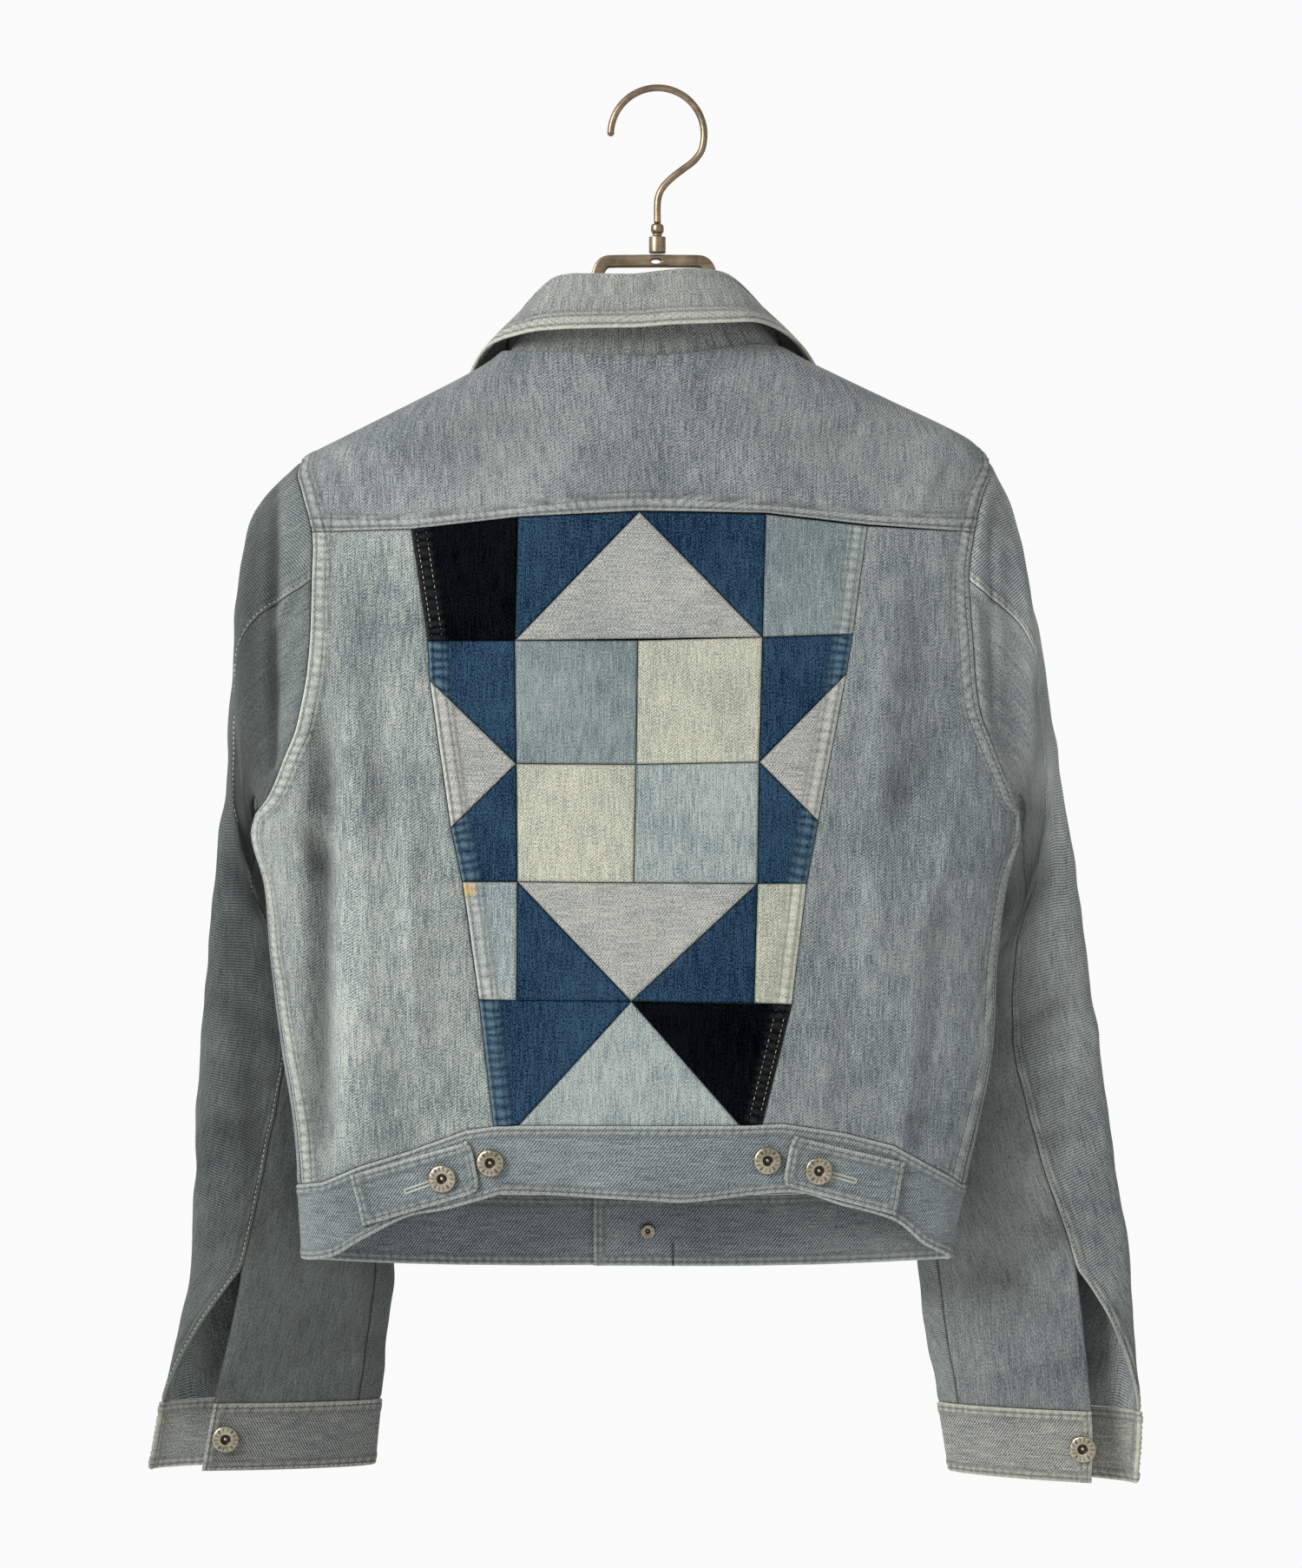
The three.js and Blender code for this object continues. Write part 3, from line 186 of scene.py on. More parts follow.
FRAME_HALF = [
    [24, -105.2, 8, 4], [29, -105.8, 8, 4], [32, -108.5, 8, 4.2], [34, -113, 7.6, 4.6],
    [36.5, -119, 7.4, 5], [42, -134, 7.4, 6], [50, -152, 7.6, 7], [62, -166, 8, 8],
    [78, -176, 9, 9], [100, -187, 9, 10],
    [140, -207, 9, 11], [178, -226, 9, 11], [186, -231, 6, 8],
]

# Distances between grid lines away from the edges, then the lengths that some grids are spread over.
YOKE_GRID, SIDE_GRID, PATCH_GRID, FRONT_GRID, TAB_GRID, COLLAR_GRID = 2.6, 2.8, 2.4, 4.6, 2.2, 2.4
BAND_GRID, SLEEVE_GRID, CUFF_GRID = (2.6, 3.2), (4.2, 4.6), (2.8, 2.6)
BAND_HEIGHT, SLEEVE_LENGTH, CUFF_SPAN = 45, 600, (290, 44)


# ---- curves and sections ----
def smoothstep(x, low, high):
    t = np.clip((x - low) / (high - low), 0, 1)
    return t * t * (3 - 2 * t)


def bump(distance, width):
    return np.exp(-((distance / width) ** 2))


def window(at, low, high, fade):
    return smoothstep(at, low - fade, low + fade) * (1 - smoothstep(at, high - fade, high + fade))


def reach_along(line):
    """How far along a line each of its points is."""
    return np.concatenate([[0], np.cumsum(np.linalg.norm(np.diff(line, axis=0), axis=1))])


def curve_between(a, b, leaving, arriving, t):
    """The cubic from a to b with a slope at each end."""
    return (a * (1 + 2 * t) * (1 - t) ** 2 + leaving * t * (1 - t) ** 2
            + b * t * t * (3 - 2 * t) - arriving * t * t * (1 - t))


def smooth(rows):
    """A smooth curve through rows of position and values."""
    rows = np.array(rows, float)
    places = rows[:, 0]
    sign = -1 if places[0] > places[-1] else 1
    last = len(rows) - 1
    before = np.maximum(np.arange(last + 1) - 1, 0)
    after = np.minimum(np.arange(last + 1) + 1, last)
    slopes = (rows[after] - rows[before]) / (places[after] - places[before])[:, None]

    def value(at, k=1):
        at = np.asarray(at, float)
        i = np.clip(np.searchsorted(sign * places, sign * at) - 1, 0, last - 1)
        span = places[i + 1] - places[i]
        t = np.clip((at - places[i]) / span, 0, 1)
        return curve_between(rows[i, k], rows[i + 1, k], slopes[i, k] * span, slopes[i + 1, k] * span, t)
    return value


side_line = smooth(SIDES)
depth_line = smooth(DEPTHS)


def side_fold(x, z):
    """The long upright fold of the back's left side, as depth into the body."""
    return window(z, -650, -390, 30) * (5 * bump(x + 196 - (z + 520) * 0.02, 9) - 3 * bump(x + 181, 9))


def body_point(angle, z):
    angle, z = np.broadcast_arrays(np.asarray(angle, float), np.asarray(z, float))
    left, right = side_line(z, 1), side_line(z, 2)
    x = (right - left) / 2 + (left + right) / 2 * np.sin(angle)
    c = np.cos(angle)
    depth = np.where(c > 0, depth_line(z, 1), depth_line(z, 2))
    y = -depth * np.sign(c) * np.abs(c) ** PANEL_ROUND
    y = y + np.where(c > 0, side_fold(x, z), 0)
    return np.stack([x + JACKET_X, y, z], -1)


def unit(v):
    return v / np.maximum(np.linalg.norm(v, axis=-1, keepdims=True), 1e-9)


def body_normal(angle, z):
    turn = body_point(angle + 0.01, z) - body_point(angle - 0.01, z)
    up = body_point(angle, z + 1) - body_point(angle, z - 1)
    return unit(np.cross(turn, up))


def back_angle(x, z):
    left, right = side_line(z, 1), side_line(z, 2)
    return np.arcsin(np.clip((x - (right - left) / 2) / ((left + right) / 2), -1, 1))


def front_angle(x, z, side):
    return side * PI - back_angle(x, z)


# ---- edges of panels: each maps an index along its steps to an angle and a height ----
def poly(points):
    """Straight between [angle, height] points."""
    points = np.array(points, float)
    steps = np.arange(len(points))

    def track(s):
        return np.stack([np.interp(s, steps, points[:, 0]), np.interp(s, steps, points[:, 1])], -1)
    return track, len(points) - 1


def poly_back(points):
    """Straight between points on the back, given from the jacket's middle."""
    flat, count = poly(points)

    def track(s):
        at = flat(s)
        return np.stack([back_angle(at[:, 0], at[:, 1]), at[:, 1]], -1)
    return track, count


ARM_LINES = {name: (smooth(back), smooth(front)) for name, (back, front) in ARMHOLES.items()}


def armhole_place(name, turn):
    side = SIDE_SIGN[name]
    turn = np.mod(np.asarray(turn, float), 2 * PI)

    def place(at):
        z = (ARM_TOP + ARM_BOTTOM) / 2 + (ARM_TOP - ARM_BOTTOM) / 2 * np.cos(at)
        back, front = ARM_LINES[name]
        behind = at <= PI
        x = side * np.where(behind, back(z), front(z))
        return np.where(behind, back_angle(x, z), front_angle(x, z, side)), z

    angle, z = place(turn)
    for (low, high), at in ((UNDERARM_TURN, turn), (OVERARM_TURN, np.where(turn > PI, turn - 2 * PI, turn))):
        start, end = (place(np.array([np.mod(t, 2 * PI)]))[0][0] for t in (low, high))
        share = (at - low) / (high - low)
        angle = np.where((share > 0) & (share < 1), start + (end - start) * share, angle)
    return np.stack([angle, z], -1)


def arm_edge(name, turns):
    turns = np.array(turns, float)
    return (lambda s: armhole_place(name, np.interp(s, np.arange(len(turns)), turns))), len(turns) - 1


def chain(*edges):
    """Edges one after the other."""
    starts = np.cumsum([0] + [count for _, count in edges])

    def track(s):
        out = np.zeros((len(s), 2))
        for k, (edge, _) in enumerate(edges):
            last = k == len(edges) - 1
            mine = (s >= starts[k] - 1e-9) & ((s <= starts[k + 1]) if last else (s < starts[k + 1]))
            if mine.any():
                out[mine] = edge(s[mine] - starts[k])
        return out
    return track, int(starts[-1])


def flipped(edge):
    track, count = edge
    return (lambda s: track(count - s)), count


def steps(line, size):
    out = [line[0]]
    for a, b in zip(line, line[1:]):
        n = max(1, round(math.hypot(b[0] - a[0], b[1] - a[1]) / size))
        out += [[a[0] + (b[0] - a[0]) * k / n, a[1] + (b[1] - a[1]) * k / n] for k in range(1, n + 1)]
    return out


def spread(line, n):
    line = np.array(line, float)
    reach = reach_along(line)
    at = np.linspace(0, reach[-1], n + 1)
    return np.stack([np.interp(at, reach, line[:, 0]), np.interp(at, reach, line[:, 1])], -1)


def refined(line, n):
    """The line with its longest stretches halved until it has n + 1 points."""
    out = [list(p) for p in line]
    while len(out) < n + 1:
        sizes = [math.dist(a, b) for a, b in zip(out, out[1:])]
        at = next(i for i, size in enumerate(sizes) if size >= max(sizes) / 1.001)
        out.insert(at + 1, [(a + b) / 2 for a, b in zip(out[at], out[at + 1])])
    return out


# Distances in from a sewn edge where the cloth's form changes: the rolled edge and two stitch lines.
STITCH_LINES = (2.6, 8.6)
SEAM_STATIONS = [0, 0.2, 0.5, 0.9, 1.4, 2.0, 2.6, 3.2, 4.2, 5.6, 7.0, 8.0, 8.6, 9.2, 10.4, 12, 14]


def stations(length, pitch, inset=SEAM / 2):
    """Distances along a stretch, closer together beside both ends."""
    near = [inset + d for d in SEAM_STATIONS if d < length / 2 - pitch / 2]
    room = length - 2 * near[-1]
    n = max(2, math.ceil(room / pitch))
    middle = near[-1] + room * np.arange(1, n) / n
    return np.concatenate([near, middle, [length - d for d in reversed(near)]])


def edge_indices(edge, pitch, inset=SEAM / 2):
    track, count = edge
    s = np.linspace(0, count, count * 12 + 1)
    at = track(s)
    line = body_point(at[:, 0], at[:, 1])
    reach = reach_along(line)
    return np.interp(stations(reach[-1], pitch, inset), reach, s)


def coons(bottom, top, first, last, pitch, inset=SEAM / 2):
    """Angles and heights over a panel, rows up and columns across, from its four edges."""
    s, r = edge_indices(bottom, pitch, inset), edge_indices(first, pitch, inset)
    columns, rows = bottom[1], first[1]
    u, v = (s / columns)[None, :, None], (r / rows)[:, None, None]
    b, t = bottom[0](s)[None], top[0](s)[None]
    f, l = first[0](r)[:, None], last[0](r)[:, None]
    ends = np.array([0.0, columns])
    (c00, c10), (c01, c11) = bottom[0](ends), top[0](ends)
    grid = ((1 - v) * b + v * t + (1 - u) * f + u * l
            - (1 - u) * (1 - v) * c00 - u * (1 - v) * c10 - (1 - u) * v * c01 - u * v * c11)
    return grid[..., 0], grid[..., 1]


# ---- relief ----
def troughs(x, z, rows):
    """Soft hollows, or ridges where the depth is negative, along straight lines."""
    total = np.zeros_like(x)
    for x1, z1, x2, z2, width, depth in rows:
        dx, dz = x2 - x1, z2 - z1
        t = np.clip(((x - x1) * dx + (z - z1) * dz) / (dx * dx + dz * dz), 0, 1)
        away = (x - x1 - t * dx) ** 2 + (z - z1 - t * dz) ** 2
        total -= depth * (1 - 0.8 * (2 * t - 1) ** 4) * np.exp(-away / width ** 2)
    return total


def ripple(x, z, size, turn=0.0):
    """An even, irregular surface from -1 to 1 whose bumps are about size across."""
    k = 2 * PI / size
    rows = [(1, 0.13, 0.7), (0.31, 0.94, 2.1), (-0.62, 0.71, 4.2), (0.83, -0.52, 5.3), (0.11, -1.21, 1.4)]
    return sum(np.sin(k * (a * x + b * z) + c + turn) for a, b, c in rows) / 2.6


BACK_FOLDS = [
    (-150, -236, -52, -196, 20, 1.9), (48, -196, 150, -234, 20, 1.7), (-40, -232, 40, -236, 16, 0.8),
    (-188, -226, -172, -264, 4.5, 1.1), (-179, -224, -163, -264, 5, -1.0), (-168, -232, -158, -262, 4, 0.7),
    (190, -230, 178, -264, 4.5, 1.1), (181, -228, 168, -264, 5, -0.9),
    (-196, -368, -194, -668, 6, 2.6), (-171, -380, -166, -650, 6, -1.8), (-141, -470, -136, -640, 6, -1.4),
    (-206, -452, -196, -486, 5, 2.6), (-199, -444, -186, -470, 4, -2.0), (184, -468, 186, -492, 5, -1.6),
    (-168, -300, -158, -470, 9, 1.5), (-152, -330, -142, -520, 8, -1.3), (-132, -420, -124, -600, 7, 1.2),
    (-178, -404, -150, -440, 9, 1.6), (-190, -430, -168, -470, 6, -1.3), (-150, -590, -138, -648, 6, 1.2),
    (172, -300, 158, -480, 10, 1.8), (150, -330, 140, -560, 8, -1.5), (184, -392, 150, -452, 10, 2.0),
    (196, -440, 172, -520, 7, -1.8), (186, -480, 176, -640, 7, 2.2), (168, -560, 158, -655, 6, -1.6),
    (168, -630, 173, -654, 5, 2.4), (130, -560, 118, -640, 7, 1.3),
    (96, -274, 112, -332, 5, 0.9), (108, -276, 124, -320, 4, -0.8), (82, -300, 92, -336, 5, 0.6),
    (-66, -352, -34, -362, 7, 0.7), (22, -352, 40, -404, 10, -0.6), (-104, -500, -82, -548, 8, 0.7),
    (-60, -652, -14, -664, 5, 0.7), (-40, -668, 10, -674, 5, -0.5), (20, -648, 60, -656, 5, 0.6),
    (-188, -690, -150, -678, 6, 0.9), (130, -668, 160, -676, 5, 0.9), (-150, -664, -128, -690, 5, 0.6),
]
FRONT_FOLDS = [
    (-150, -240, -80, -330, 12, 1.4), (150, -240, 80, -330, 12, 1.4), (-170, -420, -120, -470, 10, 1.6),
    (170, -420, 120, -470, 10, 1.6), (-120, -470, -104, -640, 12, 1.5), (120, -470, 104, -640, 12, 1.5),
    (-70, -520, -62, -650, 10, -1.2), (70, -520, 62, -650, 10, -1.2), (-30, -300, -26, -420, 9, 0.8),
    (44, -300, 40, -420, 9, 0.8),
]


def body_relief(p, angle):
    """Outward folds of the body, zero along the side seams."""
    x, z = p[..., 0] - JACKET_X, p[..., 2]
    behind = smoothstep(np.cos(angle), 0.02, 0.3)
    before = smoothstep(-np.cos(angle), 0.02, 0.3)
    soft = 0.7 * ripple(x, z * 0.6, 88) + 0.35 * ripple(x, z, 37, 1.0)
    return behind * (troughs(x, z, BACK_FOLDS) + soft) + before * (troughs(x, z, FRONT_FOLDS) + soft)


# Ridges paler and hollows darker by the relief's depth: partly wash fading, partly painted light on ridges and
# painted shade in hollows.
RIDGE_FADE_AND_SHADE = 0.085  # how much paler the cloth is for each mm that it stands proud
SEWN, TURNED, PLAIN = "sewn", "turned", "plain"
ALL_TURNED = {"first": TURNED, "last": TURNED, "bottom": TURNED, "top": TURNED}


def seam_form(distance, style):
    """Outward rise beside an edge: a double stitched seam, a single turned one or a plain one."""
    if style == SEWN:
        rise = 0.75 * smoothstep(distance, 0.4, 2.0) * (1 - smoothstep(distance, 8.6, 13))
        return rise - sum(0.5 * bump(distance - d, 0.75) for d in STITCH_LINES)
    if style == TURNED:
        rise = 0.55 * smoothstep(distance, 0.3, 2.0) * (1 - smoothstep(distance, 5.5, 9))
        return rise - 0.45 * bump(distance - 2.6, 0.75)
    return 0.35 * smoothstep(distance, 0.2, 2.2) * (1 - smoothstep(distance, 4, 12))


def grid_distances(p):
    """How far each point is from the first and last columns and the bottom and top rows."""
    across = np.linalg.norm(np.diff(p, axis=1), axis=2)
    up = np.linalg.norm(np.diff(p, axis=0), axis=2)
    first = np.concatenate([np.zeros((p.shape[0], 1)), np.cumsum(across, 1)], 1)
    bottom = np.concatenate([np.zeros((1, p.shape[1])), np.cumsum(up, 0)], 0)
    return {"first": first, "last": first[:, -1:] - first, "bottom": bottom, "top": bottom[-1:] - bottom}


def grid_normals(p):
    return unit(np.cross(np.gradient(p, axis=1), np.gradient(p, axis=0)))


# ---- meshes ----
def scene_object(name, data):
    obj = bpy.data.objects.new(name, data)
    bpy.context.scene.collection.objects.link(obj)
    return obj


def mesh_object(name, points, faces, material):
    mesh = bpy.data.meshes.new(name)
    mesh.from_pydata((np.asarray(points) * 0.001).tolist(), [], [list(map(int, f)) for f in faces])
    mesh.materials.append(material)
    mesh.polygons.foreach_set("use_smooth", [True] * len(mesh.polygons))
    return scene_object(name, mesh)


def tube_faces(rows, sides, closed=False):
    """Quads over rings of points, each ring as long as the tube has sides."""
    return [[i * sides + k, i * sides + (k + 1) % sides,
             (i + 1) % rows * sides + (k + 1) % sides, (i + 1) % rows * sides + k]
            for i in range(rows if closed else rows - 1) for k in range(sides)]


def weld(obj):
    shape = bmesh.new()
    shape.from_mesh(obj.data)
    bmesh.ops.remove_doubles(shape, verts=shape.verts, dist=1e-6)
    bmesh.ops.recalc_face_normals(shape, faces=shape.faces)
    shape.to_mesh(obj.data)
    shape.free()


def place(obj, slot, node=None):
    """Every piece rides on the one body, and most stand for a solid of it."""
    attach(obj, "root")
    if node:
        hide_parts(node)


def point_values(obj, name, values):
    layer = obj.data.attributes.new(name, "FLOAT", "POINT")
    layer.data.foreach_set("value", np.asarray(values, np.float32).ravel())


def grain_map(obj, values):
    corner = np.zeros(len(obj.data.loops), np.int32)
    obj.data.loops.foreach_get("vertex_index", corner)
    layer = obj.data.uv_layers.new(name="grain")
    layer.data.foreach_set("uv", np.asarray(values, np.float32)[corner].ravel())


def shell(name, p, n, uv, material, edges, thick=CLOTH, lift=0.0, distances=None, runs=None, fade=None):
    """A closed sheet with rolled edges over a grid of points. edges gives each side's seam form."""
    rows, columns = p.shape[:2]
    d = distances if distances is not None else grid_distances(p)
    run = runs or {"bottom": d["first"], "top": d["first"], "first": d["bottom"], "last": d["bottom"]}
    nearest = np.minimum.reduce(list(d.values()))
    x, z = p[..., 0], p[..., 2]
    form, wear, crease_shade = np.zeros((3, rows, columns))
    # The fade layer shifts each point's tone: wash fading together with painted light and shade.
    fade = np.zeros((rows, columns)) if fade is None else fade
    for side, style in edges.items():
        beside = d[side]
        form = form + seam_form(beside, style)
        # Painted shade: a dark line along a plain edge, where the panel meets its neighbour.
        if style == PLAIN:
            crease_shade = np.maximum(crease_shade, 0.75 * np.exp(-(beside / 0.7) ** 2))
            continue
        wide = 11.0 if style == SEWN else 5.5
        near = 1 - smoothstep(beside, wide * 0.75, wide * 1.25)
        phase = 2 * PI * run[side] / 5.6 + 1.8 * np.sin(run[side] / 13) + 0.9 * ripple(x, z, 16)
        bars = np.sin(phase)
        form = form + 0.2 * near * bars * smoothstep(beside, 0.2, 1.6)
        wear = np.maximum(wear, near * (0.42 + 0.4 * bars) + 0.75 * np.exp(-(beside / 1.1) ** 2))
        # Painted shade along the sunken stitch lines and in the hollow beside the seam's raised band.
        for at in STITCH_LINES[:2 if style == SEWN else 1]:
            crease_shade = np.maximum(crease_shade, bump(beside - at, 0.85) * 0.75)
        crease_shade = np.maximum(crease_shade, 0.5 * bump(beside - wide - 0.6, 1.2))
    turned = 1 - np.clip(nearest / (0.5 * thick), 0, 1)
    roll = 0.42 * thick * (1 - np.sqrt(np.clip(1 - turned ** 2, 0, 1)))
    wear = np.clip(wear, 0, 1)
    outer = p + n * (lift + form - roll)[..., None]
    inner = p + n * (lift - thick + roll)[..., None]
    points = np.concatenate([outer.reshape(-1, 3), inner.reshape(-1, 3)])
    index = np.arange(rows * columns).reshape(rows, columns)
    a, b, c, e = index[:-1, :-1], index[:-1, 1:], index[1:, 1:], index[1:, :-1]
    half = rows * columns
    quads = [np.stack([a, b, c, e], -1).reshape(-1, 4), np.stack([a, e, c, b], -1).reshape(-1, 4) + half]
    for line in (index[0], index[:, -1], index[-1, ::-1], index[::-1, 0]):
        quads.append(np.stack([line[1:], line[:-1], line[:-1] + half, line[1:] + half], -1))
    faces = np.concatenate(quads)
    i, j = rows // 2, columns // 2
    across, up = p[i, j + 1] - p[i, j], p[i + 1, j] - p[i, j]
    if np.dot(np.cross(across, up), n[i, j]) < 0:
        faces = faces[:, ::-1]
    obj = mesh_object(name, points, faces, material)
    grain_map(obj, np.concatenate([uv.reshape(-1, 2), uv.reshape(-1, 2) + 0.37]) * 0.01)
    for layer, values in (("wear", wear), ("crease_shade", crease_shade), ("fade", fade)):
        point_values(obj, layer, np.tile(values.ravel(), 2))
    return obj, outer


def declare(obj, node, slot):
    """A cloth piece stands for its solid."""
    place(obj, slot, node)


THREADS = {"pale": [], "bone": [], "dark": [], "blue": []}
STITCH_PITCH, STITCH_LENGTH, STITCH_WIDTH = 3.3, 2.5, 0.34


def stitch(colour, line, normals):
    """Adds a row of stitches along a line lying on the cloth."""
    reach = reach_along(line)
    starts = np.arange(1.0, reach[-1] - STITCH_LENGTH - 0.5, STITCH_PITCH)
    if not len(starts):
        return
    at = starts[:, None] + STITCH_LENGTH * np.array([0, 0.2, 0.8, 1])[None]
    on = np.stack([np.interp(at, reach, line[:, k]) for k in range(3)], -1)
    normal = unit(np.stack([np.interp(at, reach, normals[:, k]) for k in range(3)], -1))
    along = unit(on[:, -1:] - on[:, :1])
    side = unit(np.cross(normal, np.broadcast_to(along, normal.shape)))
    size = np.array([0.35, 1, 1, 0.35])[None, :, None]
    high = np.array([-0.3, 0.34, 0.34, -0.3])[None, :, None]
    out, sunk = side * STITCH_WIDTH * size, normal * 0.2
    THREADS[colour].append(np.stack([on - out - sunk, on + normal * high, on + out - sunk], 2))


def edge_line(p, n, edge, d):
    """The line d mm in from one side of a grid, and the outward directions along it."""
    if edge in ("first", "last"):
        p, n = p.swapaxes(0, 1), n.swapaxes(0, 1)
    if edge in ("last", "top"):
        p, n = p[::-1], n[::-1]
    reach = grid_distances(p)["bottom"]
    line, normals = [], []
    for j in range(p.shape[1]):
        if reach[-1, j] < d * 1.6:
            continue
        line.append([np.interp(d, reach[:, j], p[:, j, k]) for k in range(3)])
        normals.append([np.interp(d, reach[:, j], n[:, j, k]) for k in range(3)])
    return np.array(line), np.array(normals)


def stitch_edges(p, n, edges, colour):
    for edge, style in edges.items():
        for d in {SEWN: STITCH_LINES, TURNED: STITCH_LINES[:1]}.get(style, ()):
            line, normals = edge_line(p, n, edge, d)
            if len(line) > 2:
                stitch(colour, line, normals)


# ---- materials ----
def linear(colour):
    c = np.array(colour, float) / 255
    return tuple(np.where(c <= 0.04045, c / 12.92, ((c + 0.055) / 1.055) ** 2.4)) + (1.0,)


class Nodes:
    """Short calls for building a material's node tree."""

    def __init__(self, name):
        self.material = bpy.data.materials.new(name)
        self.material.use_nodes = True
        self.tree = self.material.node_tree
        self.shader = self.tree.nodes["Principled BSDF"]

    def add(self, kind, inputs=None, **settings):
        node = self.tree.nodes.new(kind)
        for key, value in settings.items():
            setattr(node, key, value)
        for key, value in (inputs or {}).items():
            self.set(node.inputs[key], value)
        return node

    def set(self, socket, value):
        if isinstance(value, bpy.types.NodeSocket):
            self.tree.links.new(value, socket)
        else:
            socket.default_value = value

    def math(self, operation, a, b, clamp=False):
        return self.add("ShaderNodeMath", {0: a, 1: b}, operation=operation, use_clamp=clamp).outputs[0]

    def total(self, *terms, clamp=False):
        """Adds up (value, weight) terms, each value taken about one half."""
        out = 0.5
        for value, weight in terms:
            part = self.math("MULTIPLY", self.math("SUBTRACT", value, 0.5), weight)
            out = self.math("ADD", out, part)
        return self.add("ShaderNodeClamp", {0: out}).outputs[0] if clamp else out

    def mix(self, factor, a, b):
        node = self.add("ShaderNodeMix", data_type="RGBA")
        self.set(node.inputs[0], factor)
        self.set(node.inputs[6], a)
        self.set(node.inputs[7], b)
        return node.outputs[2]

    def noise(self, vector, scale, detail=2.0, rough=0.5):
        inputs = {"Vector": vector, "Scale": scale, "Detail": detail, "Roughness": rough}
        return self.add("ShaderNodeTexNoise", inputs).outputs["Fac"]

    def mapped(self, vector, scale=(1, 1, 1), turn=0.0):
        inputs = {"Vector": vector, "Scale": scale, "Rotation": (0, 0, turn)}
        return self.add("ShaderNodeMapping", inputs).outputs[0]

    def attribute(self, name):
        return self.add("ShaderNodeAttribute", attribute_name=name).outputs["Fac"]

    def place(self):
        return self.add("ShaderNodeTexCoord").outputs["Object"]

    def relief(self, height, strength, distance):
        inputs = {"Height": height, "Strength": strength, "Distance": distance}
        return self.add("ShaderNodeBump", inputs).outputs[0]

    def finish(self, values):
        for key, value in values.items():
            self.set(self.shader.inputs[key], value)
        return self.material


STAIN = (150, 122, 66)
TWILL_TURN = 0.96


def denim(name, dark, light, worn, contrast=1.0, twill=1.0, fleck=1.0, sheen=0.06, stain=None, gloss=0.12):
    """Washed denim: slubby warp streaks, twill lines, mottled fading, rubbed seams, painted shade in creases
    and beside seams, and a tone level from the fade layer that carries wash fading together with painted light
    and shade.
    """
    k = Nodes(name)
    uv = k.add("ShaderNodeUVMap", uv_map="grain").outputs[0]
    where = k.place()
    wear, crease_shade, fade = (k.attribute(layer) for layer in ("wear", "crease_shade", "fade"))
    streak = k.noise(k.mapped(uv, (115, 7, 1)), 1.0, 3.0, 0.6)
    broad = k.noise(k.mapped(uv, (20, 2.2, 1)), 1.0, 3.0)
    cloud = k.noise(where, 14, 3.0)
    blot = k.noise(where, 62, 4.0, 0.62)
    grit = k.noise(k.mapped(uv, (160, 85, 1)), 1.0, 2.0, 0.6)
    wave = {"Vector": k.mapped(uv, turn=TWILL_TURN), "Scale": 22.0, "Distortion": 2.2, "Detail": 2.0,
            "Detail Scale": 7.0}
    lines = k.add("ShaderNodeTexWave", wave, wave_type="BANDS").outputs["Fac"]
    tone = k.total((streak, 2.0 * contrast), (broad, 0.5 * contrast), (cloud, 0.9 * contrast),
                   (blot, 0.35 * contrast), (grit, 3.2 * fleck), (lines, 0.5 * twill), clamp=True)
    colour = k.mix(tone, linear(dark), linear(light))
    rub = k.math("ADD", k.math("MULTIPLY", grit, 0.9), k.math("MULTIPLY", blot, 0.7))
    colour = k.mix(k.math("MULTIPLY", wear, rub, clamp=True), colour, linear(worn))
    # Painted shade in creases and along seams: darker towards half the dark tone.
    colour = k.mix(k.math("MULTIPLY", crease_shade, 0.8), colour, linear([c * 0.5 for c in dark]))
    # The fade layer scales the colour: wash fading together with painted light and shade.
    level = k.math("ADD", 1.0, fade)
    colour = k.add("ShaderNodeVectorMath", {0: colour, "Scale": level}, operation="SCALE").outputs[0]
    if stain:
        away = k.add("ShaderNodeVectorMath", {0: where, 1: stain}, operation="DISTANCE").outputs["Value"]
        ragged = k.math("ADD", 1.15, k.math("MULTIPLY", blot, 0.8))
        spot = k.math("SUBTRACT", ragged, k.math("MULTIPLY", away, 200))
        colour = k.mix(k.math("MULTIPLY", spot, 0.6, clamp=True), colour, linear(STAIN))
    height = k.total((lines, 0.7 * twill), (streak, 0.8), (grit, 1.1), (blot, 0.4))
    return k.finish({"Base Color": colour, "Roughness": 0.94, "Sheen Weight": sheen, "Sheen Roughness": 0.6,
                     "Specular IOR Level": gloss, "Normal": k.relief(height, 0.6, 0.0005)})


def metal(name, low, high, rough):
    """Dull worn metal, darker in its recesses."""
    k = Nodes(name)
    where, worn = k.place(), k.attribute("wear")
    cloud = k.noise(where, 90, 4.0, 0.6)
    grain = k.noise(k.mapped(where, (60, 700, 900)), 1.0, 3.0)
    colour = k.mix(k.total((cloud, 1.2), (grain, 0.7), clamp=True), linear(low), linear(high))
    colour = k.mix(k.math("MULTIPLY", worn, 0.92, clamp=True), colour, linear((22, 18, 14)))
    dull = k.math("ADD", k.math("MULTIPLY", cloud, rough[1] - rough[0]), rough[0])
    return k.finish({"Base Color": colour, "Metallic": 1.0, "Roughness": dull,
                     "Normal": k.relief(grain, 0.4, 0.00008)})


def plain(name, colour):
    k = Nodes(name)
    low = linear([c * 0.86 for c in colour])
    return k.finish({"Base Color": k.mix(k.noise(k.place(), 1500), low, linear(colour)), "Roughness": 0.9})


WASH = ((0.54, 0.6, 0.67), (1.34, 1.31, 1.26), (1.5, 1.46, 1.38))  # dark, light and worn, of one colour


def washed(name, colour, twill):
    """Worn indigo denim about one colour: bluer where it is dark, creamier where it is pale."""
    tones = ([min(c * f, 250) for c, f in zip(colour, factors)] for factors in WASH)
    return denim(name, *tones, twill=twill)


